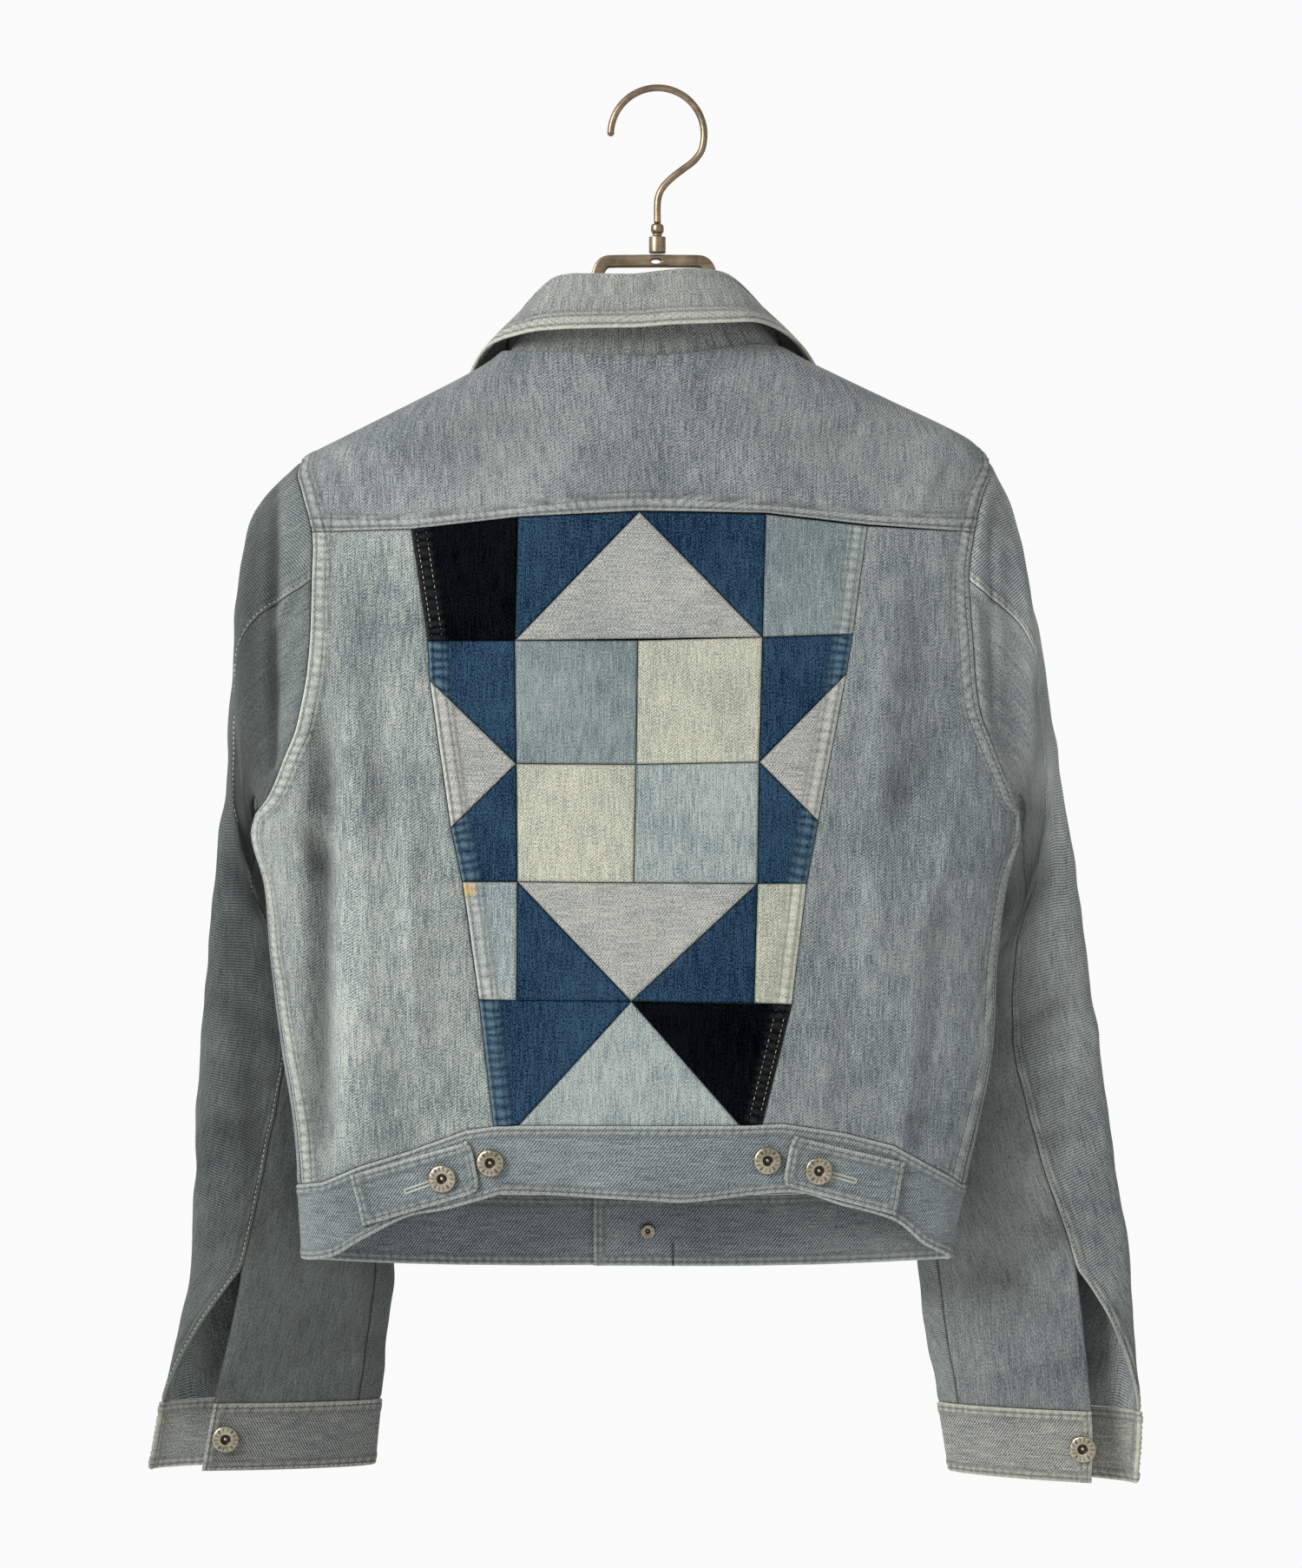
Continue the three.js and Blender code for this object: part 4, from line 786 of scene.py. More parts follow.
SKY = ((64, 77, 84), (132, 138, 132), (146, 149, 142))
WASHED = {
    "yoke": ((87, 92, 93), 1.0), "side_left": ((98, 104, 102), 1.0), "side_right": ((88, 94, 95), 1.0),
    "front": ((92, 98, 99), 1.0), "band": ((88, 95, 96), 2.2), "collar": ((100, 103, 100), 1.0),
    # The left sleeve's colour is darker than the right's partly as painted shade, lifted again by painted
    # light on its front side.
    "sleeve_left": ((56, 61, 60), 1.8), "sleeve_right": ((88, 93, 93), 1.8),
    "cuff_left": ((77, 79, 77), 2.2), "cuff_right": ((101, 103, 99), 2.2),
}
DENIM = {key: washed("denim_" + key, colour, twill) for key, (colour, twill) in WASHED.items()}
DENIM |= {
    "black": denim("denim_black", (0, 1, 2), (10, 12, 14), (34, 36, 36), 2.4, 1.2, 2.4, 0.0, gloss=0.0),
    "indigo": denim("denim_indigo", (4, 17, 34), (38, 59, 76), (76, 96, 106), 1.9, 0.9, 2.6, 0.0,
                    gloss=0.02),
    "grey": denim("denim_grey", (84, 89, 90), (142, 142, 133), (150, 150, 142), 1.2, 1.4, 1.8),
    "sky": denim("denim_sky", *SKY, 1.2, 0.8, 1.1),
    "sky_deep": denim("denim_sky_deep", (58, 70, 76), (112, 119, 116), (134, 138, 132), 1.2, 0.8, 1.1),
    "stained": denim("denim_sky_stained", *SKY, 1.2, 0.8, 1.1, stain=(-0.116, -0.0395, -0.493)),
    "cream": denim("denim_cream", (96, 99, 92), (154, 154, 138), (160, 160, 147), 1.3, 1.2, 1.8),
}
BUTTON_METAL = metal("button_worn", (62, 55, 44), (168, 160, 142), (0.26, 0.5))
HANGER_METAL = metal("hanger_pewter", (62, 53, 42), (136, 120, 100), (0.3, 0.48))
THREAD = {key: plain("thread_" + key, colour) for key, colour in {
    "pale": (132, 134, 126), "bone": (140, 132, 116), "dark": (70, 72, 70), "blue": (44, 62, 82),
}.items()}


# ---- the back ----
def body_shell(node, angle, z, material, edges, colour="pale", lift=0.0, grain="up",
               thick=CLOTH):
    base = body_point(angle, z)
    n = body_normal(angle, z)
    relief = body_relief(base, angle)
    fold = np.where(np.cos(angle) > 0, side_fold(base[..., 0] - JACKET_X, z), 0)
    p = base + n * (relief + lift)[..., None]
    arc = base[..., 0] - np.abs(base[..., 1]) * np.sin(angle)
    shift = sum(ord(c) * 7.3 for c in node)
    uv = np.stack([arc, z], -1) if grain == "up" else np.stack([z, arc], -1)
    # The fade layer here is painted light on the folds' ridges and painted shade in their hollows, with some
    # wash fading.
    obj, outer = shell(node + "_cloth", p, n, uv + shift, material, edges, thick,
                       fade=RIDGE_FADE_AND_SHADE * (relief - fold))
    stitch_edges(outer, n, edges, colour)
    declare(obj, node, "washed_denim")


def neck_side(side):
    return [side * SHOULDER_SEAM, NECK_SIDE]


def back_neck():
    line = [neck_side(-1), [-1.45, -161]]
    line += [[float(back_angle(x, z)), z] for x, z in NECK_BACK]
    return line + [[1.45, -159], neck_side(1)]


def shoulder_seam(side):
    tip = armhole_place("left" if side < 0 else "right", np.array(YOKE_STEPS[:1]))[0]
    return spread([neck_side(side), tip], 6).tolist()


def add_yoke():
    left = flipped(arm_edge("left", YOKE_STEPS))
    right = flipped(arm_edge("right", YOKE_STEPS))
    top = poly(shoulder_seam(-1)[::-1] + back_neck()[1:] + shoulder_seam(1)[1:])
    hem = refined(YOKE_HEM[:3], 6) + steps(YOKE_HEM[2:5], 15.2)[1:] + refined(YOKE_HEM[4:], 6)[1:]
    angle, z = coons(poly_back(hem), top, left, right, YOKE_GRID)
    edges = {"bottom": SEWN, "first": SEWN, "last": SEWN, "top": PLAIN}
    # The yoke's stitches are dark thread: painted shade standing in for the dark stitch holes between pale
    # threads.
    body_shell("back_yoke", angle, z, DENIM["yoke"], edges, colour="dark")


def add_back_side(name):
    side = SIDE_SIGN[name]
    corner = armhole_place(name, np.array([UNDERARM]))[0]
    seam = poly(spread([[side * SIDE_SEAM, SIDE_BAND_TOP], corner], 7))
    outer = chain(seam, flipped(arm_edge(name, BACK_STEPS)))
    inner = poly_back(refined((PATCH_LEFT if side < 0 else PATCH_RIGHT)[::-1], outer[1]))
    hem = YOKE_HEM[:2] if side < 0 else YOKE_HEM[5:][::-1]
    band = steps(BAND_TOP[:5] if side < 0 else BAND_TOP[7:][::-1], 16)
    start = poly([[side * SIDE_SEAM, SIDE_BAND_TOP], [float(back_angle(*band[0])), band[0][1]]])
    bottom = chain(start, poly_back(band))
    top = poly_back(spread(hem, bottom[1]))
    if side < 0:
        angle, z = coons(bottom, top, outer, inner, SIDE_GRID)
        edges = {"first": SEWN, "last": PLAIN, "bottom": PLAIN, "top": PLAIN}
    else:
        angle, z = coons(flipped(bottom), flipped(top), inner, outer, SIDE_GRID)
        edges = {"last": SEWN, "first": PLAIN, "bottom": PLAIN, "top": PLAIN}
    body_shell(f"back_side_{name}", angle, z, DENIM[f"side_{name}"], edges)


def quad_grid(corners, width, height, pitch):
    """A flat grid between four corners, and the shares of the way across and down of its lines."""
    a, b, c, d = corners
    u = (stations(width, pitch, 0) / width)[None, :, None]
    v = (stations(height, pitch, 0) / height)[::-1][:, None, None]
    flat = (1 - v) * ((1 - u) * a + u * b) + v * ((1 - u) * d + u * c)
    return flat[..., 0], flat[..., 1], u[..., 0], v[..., 0]


OWN_CLOTH = {"patch_4a": "stained", "patch_1e": "sky_deep", "patch_2c": "sky_deep"}
CROSS_GRAIN = {"patch_1c", "patch_2b", "patch_4c", "patch_2f"}
PATCH_THREAD = {"black": "bone", "indigo": "blue", "grey": "dark"}


def add_patch(name, corners, colour, sewn):
    """A patch from its corners, clockwise from the upper left. sewn numbers its topstitched sides."""
    corners = np.array(corners, float)
    count = len(corners)
    inset = []
    for i, p in enumerate(corners):
        a = unit(corners[i - 1] - p)
        b = unit(corners[(i + 1) % count] - p)
        inset.append(p + (a + b) * SEAM / 2 / abs(a[0] * b[1] - a[1] * b[0]))
    a, b, c, d = inset if count == 4 else (*inset, inset[2])
    width = max(math.dist(a, b), math.dist(c, d))
    height = max(math.dist(a, d), math.dist(b, c))
    x, z, _, _ = quad_grid((a, b, c, d), width, height, PATCH_GRID)
    distances, runs = {}, {}
    for i in range(count):
        p, q = inset[i], inset[(i + 1) % count]
        along = unit(q - p)
        distances[i] = np.abs((x - p[0]) * along[1] - (z - p[1]) * along[0])
        runs[i] = x * along[0] + z * along[1]
    edges = {i: (SEWN if i in sewn else PLAIN) for i in range(count)}
    angle = back_angle(x, z)
    base = body_point(angle, z)
    n = body_normal(angle, z)
    p = base + n * body_relief(base, angle)[..., None]
    shift = sum(ord(ch) * 11.7 for ch in name)
    uv = np.stack([x, z], -1)
    if name in CROSS_GRAIN:
        uv = uv[..., ::-1]
    fabric = DENIM[OWN_CLOTH.get(name, colour)]
    obj, _ = shell(name + "_cloth", p, n, uv + shift, fabric, edges, distances=distances, runs=runs)
    for i in sewn:
        p0, p1 = inset[i], inset[(i + 1) % count]
        along = unit(p1 - p0)
        inward = np.array([along[1], -along[0]])
        for d in STITCH_LINES:
            t = np.linspace(0, math.dist(p0, p1), 60)[:, None]
            line = p0 + along * t + inward * d
            ok = inside_polygon(line, inset)
            if ok.sum() < 3:
                continue
            line = line[ok]
            at = back_angle(line[:, 0], line[:, 1])
            on, up = body_point(at, line[:, 1]), body_normal(at, line[:, 1])
            rise = body_relief(on, at) + seam_form(np.array([d]), SEWN)
            stitch(PATCH_THREAD.get(colour, "pale"), on + up * rise[:, None], up)
    size = (float(np.ptp(x)) * 1.03 / 1000, float(np.ptp(z)) / 1000)
    declare(obj, name, "patch_" + colour)


def inside_polygon(points, corners):
    ok = np.ones(len(points), bool)
    for i, p in enumerate(corners):
        q = corners[(i + 1) % len(corners)]
        ok &= (q[0] - p[0]) * (points[:, 1] - p[1]) - (q[1] - p[1]) * (points[:, 0] - p[0]) < 0
    return ok


def add_patches():
    """Each patch's cloth, its corners and the number of its topstitched side, if it has one."""
    left, right, m = PATCH_LEFT, PATCH_RIGHT, ROWS
    patches = {
        "1a": ("black", [left[0], m[0][0], m[1][0], left[1]], 3),
        "1b": ("indigo", [m[0][0], m[0][1], m[1][0]]),
        "1c": ("grey", [m[1][2], m[1][0], m[0][1]]),
        "1d": ("indigo", [m[0][1], m[0][2], m[1][2]]),
        "1e": ("sky", [m[0][2], right[0], right[1], m[1][2]], 1),
        "2a": ("indigo", [left[1], m[1][0], m[2][0], left[2]], 3),
        "2b": ("grey", [m[2][0], left[3], left[2]], 1),
        "2c": ("sky", [m[1][0], m[1][1], m[2][1], m[2][0]]),
        "2d": ("cream", [m[1][1], m[1][2], m[2][2], m[2][1]]),
        "2e": ("indigo", [m[1][2], right[1], right[2], m[2][2]], 1),
        "2f": ("grey", [right[2], right[3], m[2][2]], 0),
        "3a": ("indigo", [left[3], m[2][0], m[3][0], left[4]], 3),
        "3b": ("cream", [m[2][0], m[2][1], m[3][1], m[3][0]]),
        "3c": ("sky", [m[2][1], m[2][2], m[3][2], m[3][1]]),
        "3d": ("indigo", [m[2][2], right[3], right[4], m[3][2]], 1),
        "4a": ("sky", [left[4], m[3][0], m[4][0], left[5]], 3),
        "4b": ("indigo", [m[3][0], m[4][1], m[4][0]]),
        "4c": ("grey", [m[3][0], m[3][2], m[4][1]]),
        "4d": ("indigo", [m[3][2], m[4][2], m[4][1]]),
        "4e": ("cream", [m[3][2], right[4], right[5], m[4][2]], 1),
        "5a": ("indigo", [left[5], m[4][1], m[5][0], left[6]], 3),
        "5b": ("sky", [m[5][2], m[5][0], m[4][1]]),
        "5c": ("black", [m[4][1], right[5], right[6], m[5][2]], 1),
    }
    for name, (colour, corners, *sewn) in patches.items():
        add_patch("patch_" + name, corners, colour, sewn)


# ---- the fronts and the waistband ----
def front_lift(angle):
    return OVERLAP_LIFT * smoothstep(-angle, 2.35, 2.85)


def front_band_top(angle):
    return SIDE_BAND_TOP - 11 * smoothstep(np.abs(angle), SIDE_SEAM, 2.9)


def front_band_bottom(angle):
    return -722 - 8 * smoothstep(np.abs(angle), SIDE_SEAM, 2.9)


def front_hem(side):
    hem = [[side * angle, float(front_band_top(angle))] for angle in FRONT_SIDES]
    z = float(front_band_top(PI))
    return hem + [[float(front_angle(FRONT_MIDDLE + side * past, z, side)), z] for past in FRONT_EDGE]


def front_neck(side):
    line = [[float(front_angle(side * x, z, side)), z] for x, z in NECK_FRONT]
    line[0] = neck_side(side)
    at = [front_angle(FRONT_MIDDLE + side * past, NECK_LOW, side) for past in FRONT_EDGE]
    return line + [[float(angle), NECK_LOW] for angle in at]


def add_front(name):
    side = SIDE_SIGN[name]
    corner = armhole_place(name, np.array([UNDERARM]))[0]
    seam = poly(spread([[side * SIDE_SEAM, SIDE_BAND_TOP], corner], 7))
    shoulder = poly(shoulder_seam(side)[::-1])
    outer = chain(seam, arm_edge(name, FRONT_STEPS), shoulder)
    low = float(front_band_top(PI))
    heights = [low + (NECK_LOW - low) * i / outer[1] for i in range(outer[1] + 1)]
    edge = poly([[float(front_angle(FRONT_MIDDLE - side * PLACKET, z, side)), z] for z in heights])
    angle, z = coons(poly(front_hem(side)), poly(front_neck(side)), outer, edge, FRONT_GRID, SEAM)
    lift = front_lift(angle) if side < 0 else np.zeros_like(angle)
    edges = {"last": SEWN, "bottom": PLAIN, "first": PLAIN}
    body_shell(f"front_{name}", angle, z, DENIM["front"], edges, lift=lift)


def add_waistband():
    right = poly(front_hem(1)[::-1])
    left = poly(front_hem(-1))
    back = steps(BAND_TOP, 12)[::-1]
    ends = [[float(back_angle(x, z)), z] for x, z in (back[0], back[-1])]
    top = chain(right, poly([front_hem(1)[0], ends[0]]), poly_back(back),
                poly([ends[1], front_hem(-1)[0]]), left)
    s = edge_indices(top, BAND_GRID[0])
    line = top[0](s)
    bottom_at = [[float(back_angle(x, z)), z] for x, z in BAND_BOTTOM]
    inside = (line[:, 0] > bottom_at[0][0]) & (line[:, 0] < bottom_at[-1][0])
    low = np.where(inside, smooth(bottom_at)(line[:, 0]), front_band_bottom(line[:, 0]))
    v = (stations(BAND_HEIGHT, BAND_GRID[1], 0) / BAND_HEIGHT)[:, None]
    z = low[None] + (line[None, :, 1] - low[None]) * v
    angle = np.broadcast_to(line[None, :, 0], z.shape).copy()
    side = np.sign(line[:, 0])
    x = body_point(line[:, 0], line[:, 1])[:, 0] - JACKET_X
    for j in np.where(np.abs(line[:, 0]) > 3)[0]:
        angle[:, j] = front_angle(x[j], z[:, j], side[j])
    body_shell("waistband", angle, z, DENIM["band"], ALL_TURNED, lift=BAND_LIFT + front_lift(angle),
               thick=DOUBLE, grain="along")


def add_tab(name):
    corners = np.array(TABS[name], float)
    a, b, _, d = corners
    x, z, u, v = quad_grid(corners, math.dist(a, b), math.dist(a, d), TAB_GRID)
    inner = (1 - u) if name == "right" else u
    rounded = smoothstep(inner, 0.9, 1.0) * (np.abs(2 * v - 1) ** 6)
    x = x + rounded * 2.5 * SIDE_SIGN[name]
    body_shell(f"tab_{name}", back_angle(x, z), z, DENIM["band"], ALL_TURNED,
               lift=BAND_LIFT + TAB_GAP + TAB, thick=TAB, grain="along")


# ---- buttons and buttonholes ----
BUTTON_SHAPE = [
    (0, 0), (3.9, 0), (4, 0.9), (7.6, 1.15), (8.3, 1.5), (8.5, 2.0), (8.35, 2.6), (7.8, 3.1), (7.0, 3.42),
    (6.1, 3.55), (5.2, 3.5), (4.4, 3.3), (3.75, 3.2), (3.4, 3.3), (3.15, 3.05), (3.0, 2.2), (2.8, 1.5),
    (1.5, 1.4), (1.25, 1.9), (0.9, 2.35), (0.4, 2.5), (0, 2.52),
]


def add_button(node, point, normal, scale=1.0):
    turns = 60
    shape = np.array(BUTTON_SHAPE)
    angle = 2 * PI * np.arange(turns) / turns
    r, h = shape[:, :1] * scale, np.repeat(shape[:, 1:] * scale, turns, 1)
    band = window(shape[:, :1], 4.7, 7.5, 0.3) * (shape[:, 1:] > 2.8)
    notch = band * (np.cos(angle * 14) > 0.55)[None]
    h = h - 0.28 * notch * scale
    w = Vector(normal.tolist())
    turn = np.array(w.to_track_quat("Z", "Y").to_matrix())
    local = np.stack([r * np.cos(angle), r * np.sin(angle), h], -1).reshape(-1, 3)
    points = local @ turn.T + point
    n = len(shape)
    obj = mesh_object(node + "_detail", points, tube_faces(n, turns), BUTTON_METAL)
    recess = window(shape[:, :1], 1.3, 3.05, 0.25) * (shape[:, 1:] < 3.1) * (np.arange(n)[:, None] > 12)
    under = (np.arange(n)[:, None] < 5) * 0.7
    point_values(obj, "wear", np.clip(recess + under + notch * 0.75, 0, 1))
    weld(obj)
    place(obj, "button_metal", node)


def back_button(node, x, z, lift):
    angle = back_angle(np.array(x), np.array(z))
    normal = body_normal(angle, np.array(z, float))
    add_button(node, body_point(angle, z) + normal * lift, normal)


def add_body_buttons():
    for kind, places, lift in (
        ("tab", TAB_BUTTONS, BAND_LIFT + TAB_GAP + TAB + 0.6), ("band", BAND_BUTTONS, BAND_LIFT + 0.6),
    ):
        for name, (x, z) in places.items():
            back_button(f"{kind}_button_{name}", x, z, lift)
    for i, z in enumerate(BUTTON_HEIGHTS):
        angle = front_angle(np.array(FRONT_MIDDLE), z, -1)
        normal = body_normal(angle, np.array(z, float))
        proud = OVERLAP_LIFT + 0.5 + (BAND_LIFT if i == len(BUTTON_HEIGHTS) - 1 else 0)
        add_button(f"front_button_{i + 1}", body_point(angle, z) + normal * proud, normal)
    z = BUTTON_HEIGHTS[-1]
    normal = -body_normal(np.array(PI), np.array(z, float))
    inside = body_point(front_angle(np.array(FRONT_MIDDLE), z, 1), z)
    add_button("waist_button_back", inside + normal * (DOUBLE - BAND_LIFT + 0.5), normal, 0.53)


def add_buttonholes():
    """Worked holes: a slot with close stitches round it, ending under each tab's button."""
    lift = BAND_LIFT + TAB_GAP + TAB + 0.25
    for name in SIDE_SIGN:
        a, b = np.array(HOLE_ENDS[name], float), np.array(TAB_BUTTONS[name], float)
        along = unit(b - a)
        across = np.array([-along[1], along[0]])
        length = math.dist(a, b)
        turn = 2 * PI * np.linspace(0, 1, 241)[:-1]
        aside = np.sign(np.sin(turn)) * np.minimum(np.abs(np.sin(turn)) * 6, 1) * 1.15
        flat = a + along * length / 2 + along * (np.cos(turn) * length / 2)[:, None] + across * aside[:, None]
        angle = back_angle(flat[:, 0], flat[:, 1])
        n = body_normal(angle, flat[:, 1])
        line = body_point(angle, flat[:, 1])
        line = line + n * (lift + body_relief(line, angle))[:, None]
        ahead = unit(np.roll(line, -1, 0) - np.roll(line, 1, 0))
        side = np.cross(n, ahead)
        ribs = 0.75 + 0.13 * np.cos(turn * 60)
        ring = 2 * PI * np.arange(8) / 8
        points = (line[:, None] + side[:, None] * (np.cos(ring)[None] * ribs[:, None])[..., None]
                  + n[:, None] * (np.sin(ring)[None] * 0.45 * ribs[:, None])[..., None])
        faces = tube_faces(len(line), 8, closed=True)
        place(mesh_object(f"buttonhole_{name}", points.reshape(-1, 3), faces, THREAD["pale"]), "washed_denim")


# ---- the sleeves ----
def ring_point(ring, side, turn):
    top, under, half, lean = ring
    a = np.array([side * top[0] + JACKET_X, top[1], top[2]], float)
    b = np.array([side * under[0] + JACKET_X, under[1], under[2]], float)
    across = unit(b - a)
    behind = np.array([side * lean, -1.0, 0.0])
    behind = unit(behind - across * behind.dot(across))
    return ((a + b) / 2 + (a - b) * np.cos(turn)[..., None] / 2 + behind * half * np.sin(turn)[..., None])


def clear_of_body(p, turn):
    x, z = p[..., 0] - JACKET_X, p[..., 2]
    left, right = side_line(z, 1), side_line(z, 2)
    half, middle = (left + right) / 2, (right - left) / 2
    out = np.abs(x - middle) / half
    curve = depth_line(z, 2) * np.clip(1 - out * out, 0, 1) ** (PANEL_ROUND / 2)
    front = np.where(out < 1, curve, -2.5 * (out - 1) * half)
    room = front + SLEEVE_CLEARANCE + SLEEVE_FULLNESS * (1 - np.sin(turn))
    y = p[..., 1]
    pushed = (y + room + np.sqrt((y - room) ** 2 + 25)) / 2
    share = 1 - smoothstep(z, -452, -440)
    out_p = p.copy()
    out_p[..., 1] = y + (pushed - y) * share
    return out_p


def sleeve_point(name, ring, turn):
    side = SIDE_SIGN[name]
    hole = armhole_place(name, turn.ravel())
    at = [body_point(hole[:, 0], hole[:, 1]).reshape(turn.shape + (3,))]
    at += [ring_point(r, side, turn) for r in SLEEVES[name]]
    at = np.stack(at)
    i = np.minimum(np.floor(ring).astype(int), HEM_RING - 1)
    t = (ring - i)[..., None]

    def pick(k):
        return np.take_along_axis(at, np.clip(k, 0, HEM_RING)[None, ..., None], 0)[0]
    p, q = pick(i), pick(i + 1)
    dp = np.where((i > 0)[..., None], (q - pick(i - 1)) / 2, q - p)
    dq = np.where((i + 1 < HEM_RING)[..., None], (pick(i + 2) - p) / 2, q - p)
    out = curve_between(p, q, dp, dq, t)
    return np.where((ring > 0)[..., None], clear_of_body(out, turn), out)


def sleeve_normal(name, ring, turn):
    side = SIDE_SIGN[name]
    round_ = sleeve_point(name, ring, turn + 0.02) - sleeve_point(name, ring, turn - 0.02)
    down = sleeve_point(name, np.minimum(ring + 0.05, HEM_RING), turn)
    down = down - sleeve_point(name, np.maximum(ring - 0.05, 0.001), turn)
    n = unit(np.cross(round_, down) * side)
    hole = armhole_place(name, turn.ravel())
    flat = body_normal(hole[:, 0], hole[:, 1]).reshape(n.shape)
    share = smoothstep(ring, ARM_SEAM, 0.45)[..., None]
    return unit(n * share + flat * (1 - share))


def seam_at(values, ring):
    return np.interp(ring, np.arange(len(values)), values)


def vent_swing(ring):
    return 1 - np.clip(ring - VENT_RING, 0, 1)


SLEEVE_FOLDS = {
    "left": [
        (-201, -302, -222, -339, 3, 2.0), (-206, -300, -227, -335, 4, -1.8), (-223, -252, -224, -420, 4, 2.6),
        (-231, -262, -232, -410, 5, -1.6), (-214, -352, -236, -402, 6, 1.4), (-238, -430, -215, -470, 7, 2.2),
        (-246, -440, -226, -486, 7, -1.6), (-262, -470, -226, -510, 8, 2.4), (-256, -500, -214, -540, 8, -1.8),
        (-268, -560, -220, -586, 8, 2.6), (-264, -590, -206, -612, 8, -2.0), (-276, -640, -224, -652, 9, 2.4),
        (-268, -676, -214, -668, 8, -1.8), (-282, -712, -226, -704, 9, 2.2), (-272, -748, -232, -738, 8, -1.6),
        (-290, -776, -258, -790, 7, 1.6), (-244, -560, -236, -740, 8, 1.2),
    ],
    "right": [
        (202, -305, 212, -327, 3, 2.0), (206, -300, 217, -324, 4, -1.8), (212, -257, 213, -400, 4, 2.6),
        (221, -266, 222, -396, 5, -1.6), (214, -346, 236, -398, 6, 1.4), (236, -430, 215, -470, 7, 2.2),
        (244, -444, 226, -486, 7, -1.6), (262, -476, 226, -512, 8, 2.4), (262, -506, 214, -542, 8, -1.8),
        (274, -560, 224, -588, 8, 2.6), (276, -596, 214, -614, 8, -2.0), (288, -640, 232, -656, 9, 2.4),
        (286, -682, 226, -674, 8, -1.8), (302, -716, 240, -706, 9, 2.2), (296, -752, 246, -742, 8, -1.6),
        (308, -778, 270, -792, 7, 1.6), (258, -560, 262, -740, 8, 1.2),
    ],
}
UNDER_STEPS = BACK_STEPS[1:]
UPPER_STEPS = [BACK_STEPS[1]] + YOKE_STEPS[::-1] + [turn - 2 * PI for turn in FRONT_STEPS[-2::-1]]


def fractions_of(values):
    values = np.array(values)
    return (values - values[0]) / (values[-1] - values[0])


UNDER_FRACTIONS = fractions_of(UNDER_STEPS)
UPPER_FRACTIONS = fractions_of(UPPER_STEPS)


def under_seams(ring):
    return seam_at(BACK_SEAM, ring), seam_at(UNDER_SEAM, ring)


def upper_seams(ring):
    swing = vent_swing(ring)
    return seam_at(BACK_SEAM, ring) * swing + 0.03 * (1 - swing), seam_at(UNDER_SEAM, ring) - 2 * PI


def past_armhole(name, p):
    return SIDE_SIGN[name] * (p[..., 0] - JACKET_X) - STEP_AT[name]


def sleeve_relief(name, p, n, ring):
    x, z = p[..., 0] - JACKET_X, p[..., 2]
    behind = smoothstep(-n[..., 1], 0.0, 0.45)
    before = smoothstep(n[..., 1], 0.0, 0.45)
    rows = SLEEVE_FOLDS[name]
    other = [(x1, z1 - 14, x2, z2 - 22, w + 1, d) for x1, z1, x2, z2, w, d in rows[7:]]
    soft = 0.9 * ripple(x, z, 74) + 0.4 * ripple(x + p[..., 1], z, 31, 1.7)
    calm = smoothstep(ring, 0.04, 0.3) * (1 - smoothstep(ring, 7.6, 8.0))
    outside = past_armhole(name, p)
    step = smoothstep(outside, -1, 4) * (1 - smoothstep(outside, 12, 34)) * window(z, -425, -250, 22)
    folds = behind * (troughs(x, z, rows) - 4.5 * step) + before * troughs(x, z, other) + soft
    return folds * calm - 0.5 * (1 - smoothstep(ring, 0, 0.12))


def sleeve_painted_light(name, p, n, rings):
    """Painted light and shade on a sleeve, as how much paler, or darker below zero, each part of it is: paler
    beside the armhole, partly as wash fading and partly as painted light.
    """
    outside = past_armhole(name, p)
    high = window(p[..., 2], -440, -240, 30)
    before = smoothstep(n[..., 1], 0, 0.5)
    if name == "left":
        # Left sleeve: the strip beside the armhole much paler, partly wash fading and partly painted light, so
        # the rest reads as in shade; its front side paler, painted light that lifts the painted shade of its
        # dark colour.
        fade = high * (0.95 * (1 - smoothstep(outside, -3, 3)) + 0.08 * smoothstep(outside, -2, 6))
        return fade * (1 - before) + before * 0.9
    # Right sleeve: painted light high on its back and painted shade low down; its front side a little paler,
    # painted light as well.
    behind = 0.5 * window(p[..., 2], -480, -240, 60) - 0.06 * smoothstep(-p[..., 2], 560, 700)
    return (behind * (1 - before) + 0.15 * before) * (rings < CUFF_RING)


def add_sleeve_piece(node, name, rings, turns, material, edges, thick=CLOTH, lift=0.0, grain="up"):
    base = sleeve_point(name, rings, turns)
    n = sleeve_normal(name, rings, turns)
    relief = sleeve_relief(name, base, n, rings)
    p = base + n * relief[..., None]
    d = grid_distances(base)
    uv = np.stack([d["first"] - d["first"].max() / 2, d["bottom"]], -1)
    if grain != "up":
        uv = uv[..., ::-1]
    # Painted light and shade of the sleeve, plus painted light on the folds' ridges and painted shade in their
    # hollows, with some wash fading.
    fade = sleeve_painted_light(name, base, n, rings) + RIDGE_FADE_AND_SHADE * relief
    obj, outer = shell(node + "_cloth", p, n, uv + sum(map(ord, node)) * 7.1, material, edges, thick, lift,
                       fade=fade)
    stitch_edges(outer, n, edges, "pale")
    declare(obj, node, "sleeve_denim")


def ring_stations(low, high, length, pitch, inset=SEAM / 2):
    return low + (high - low) * stations(length, pitch, inset) / length


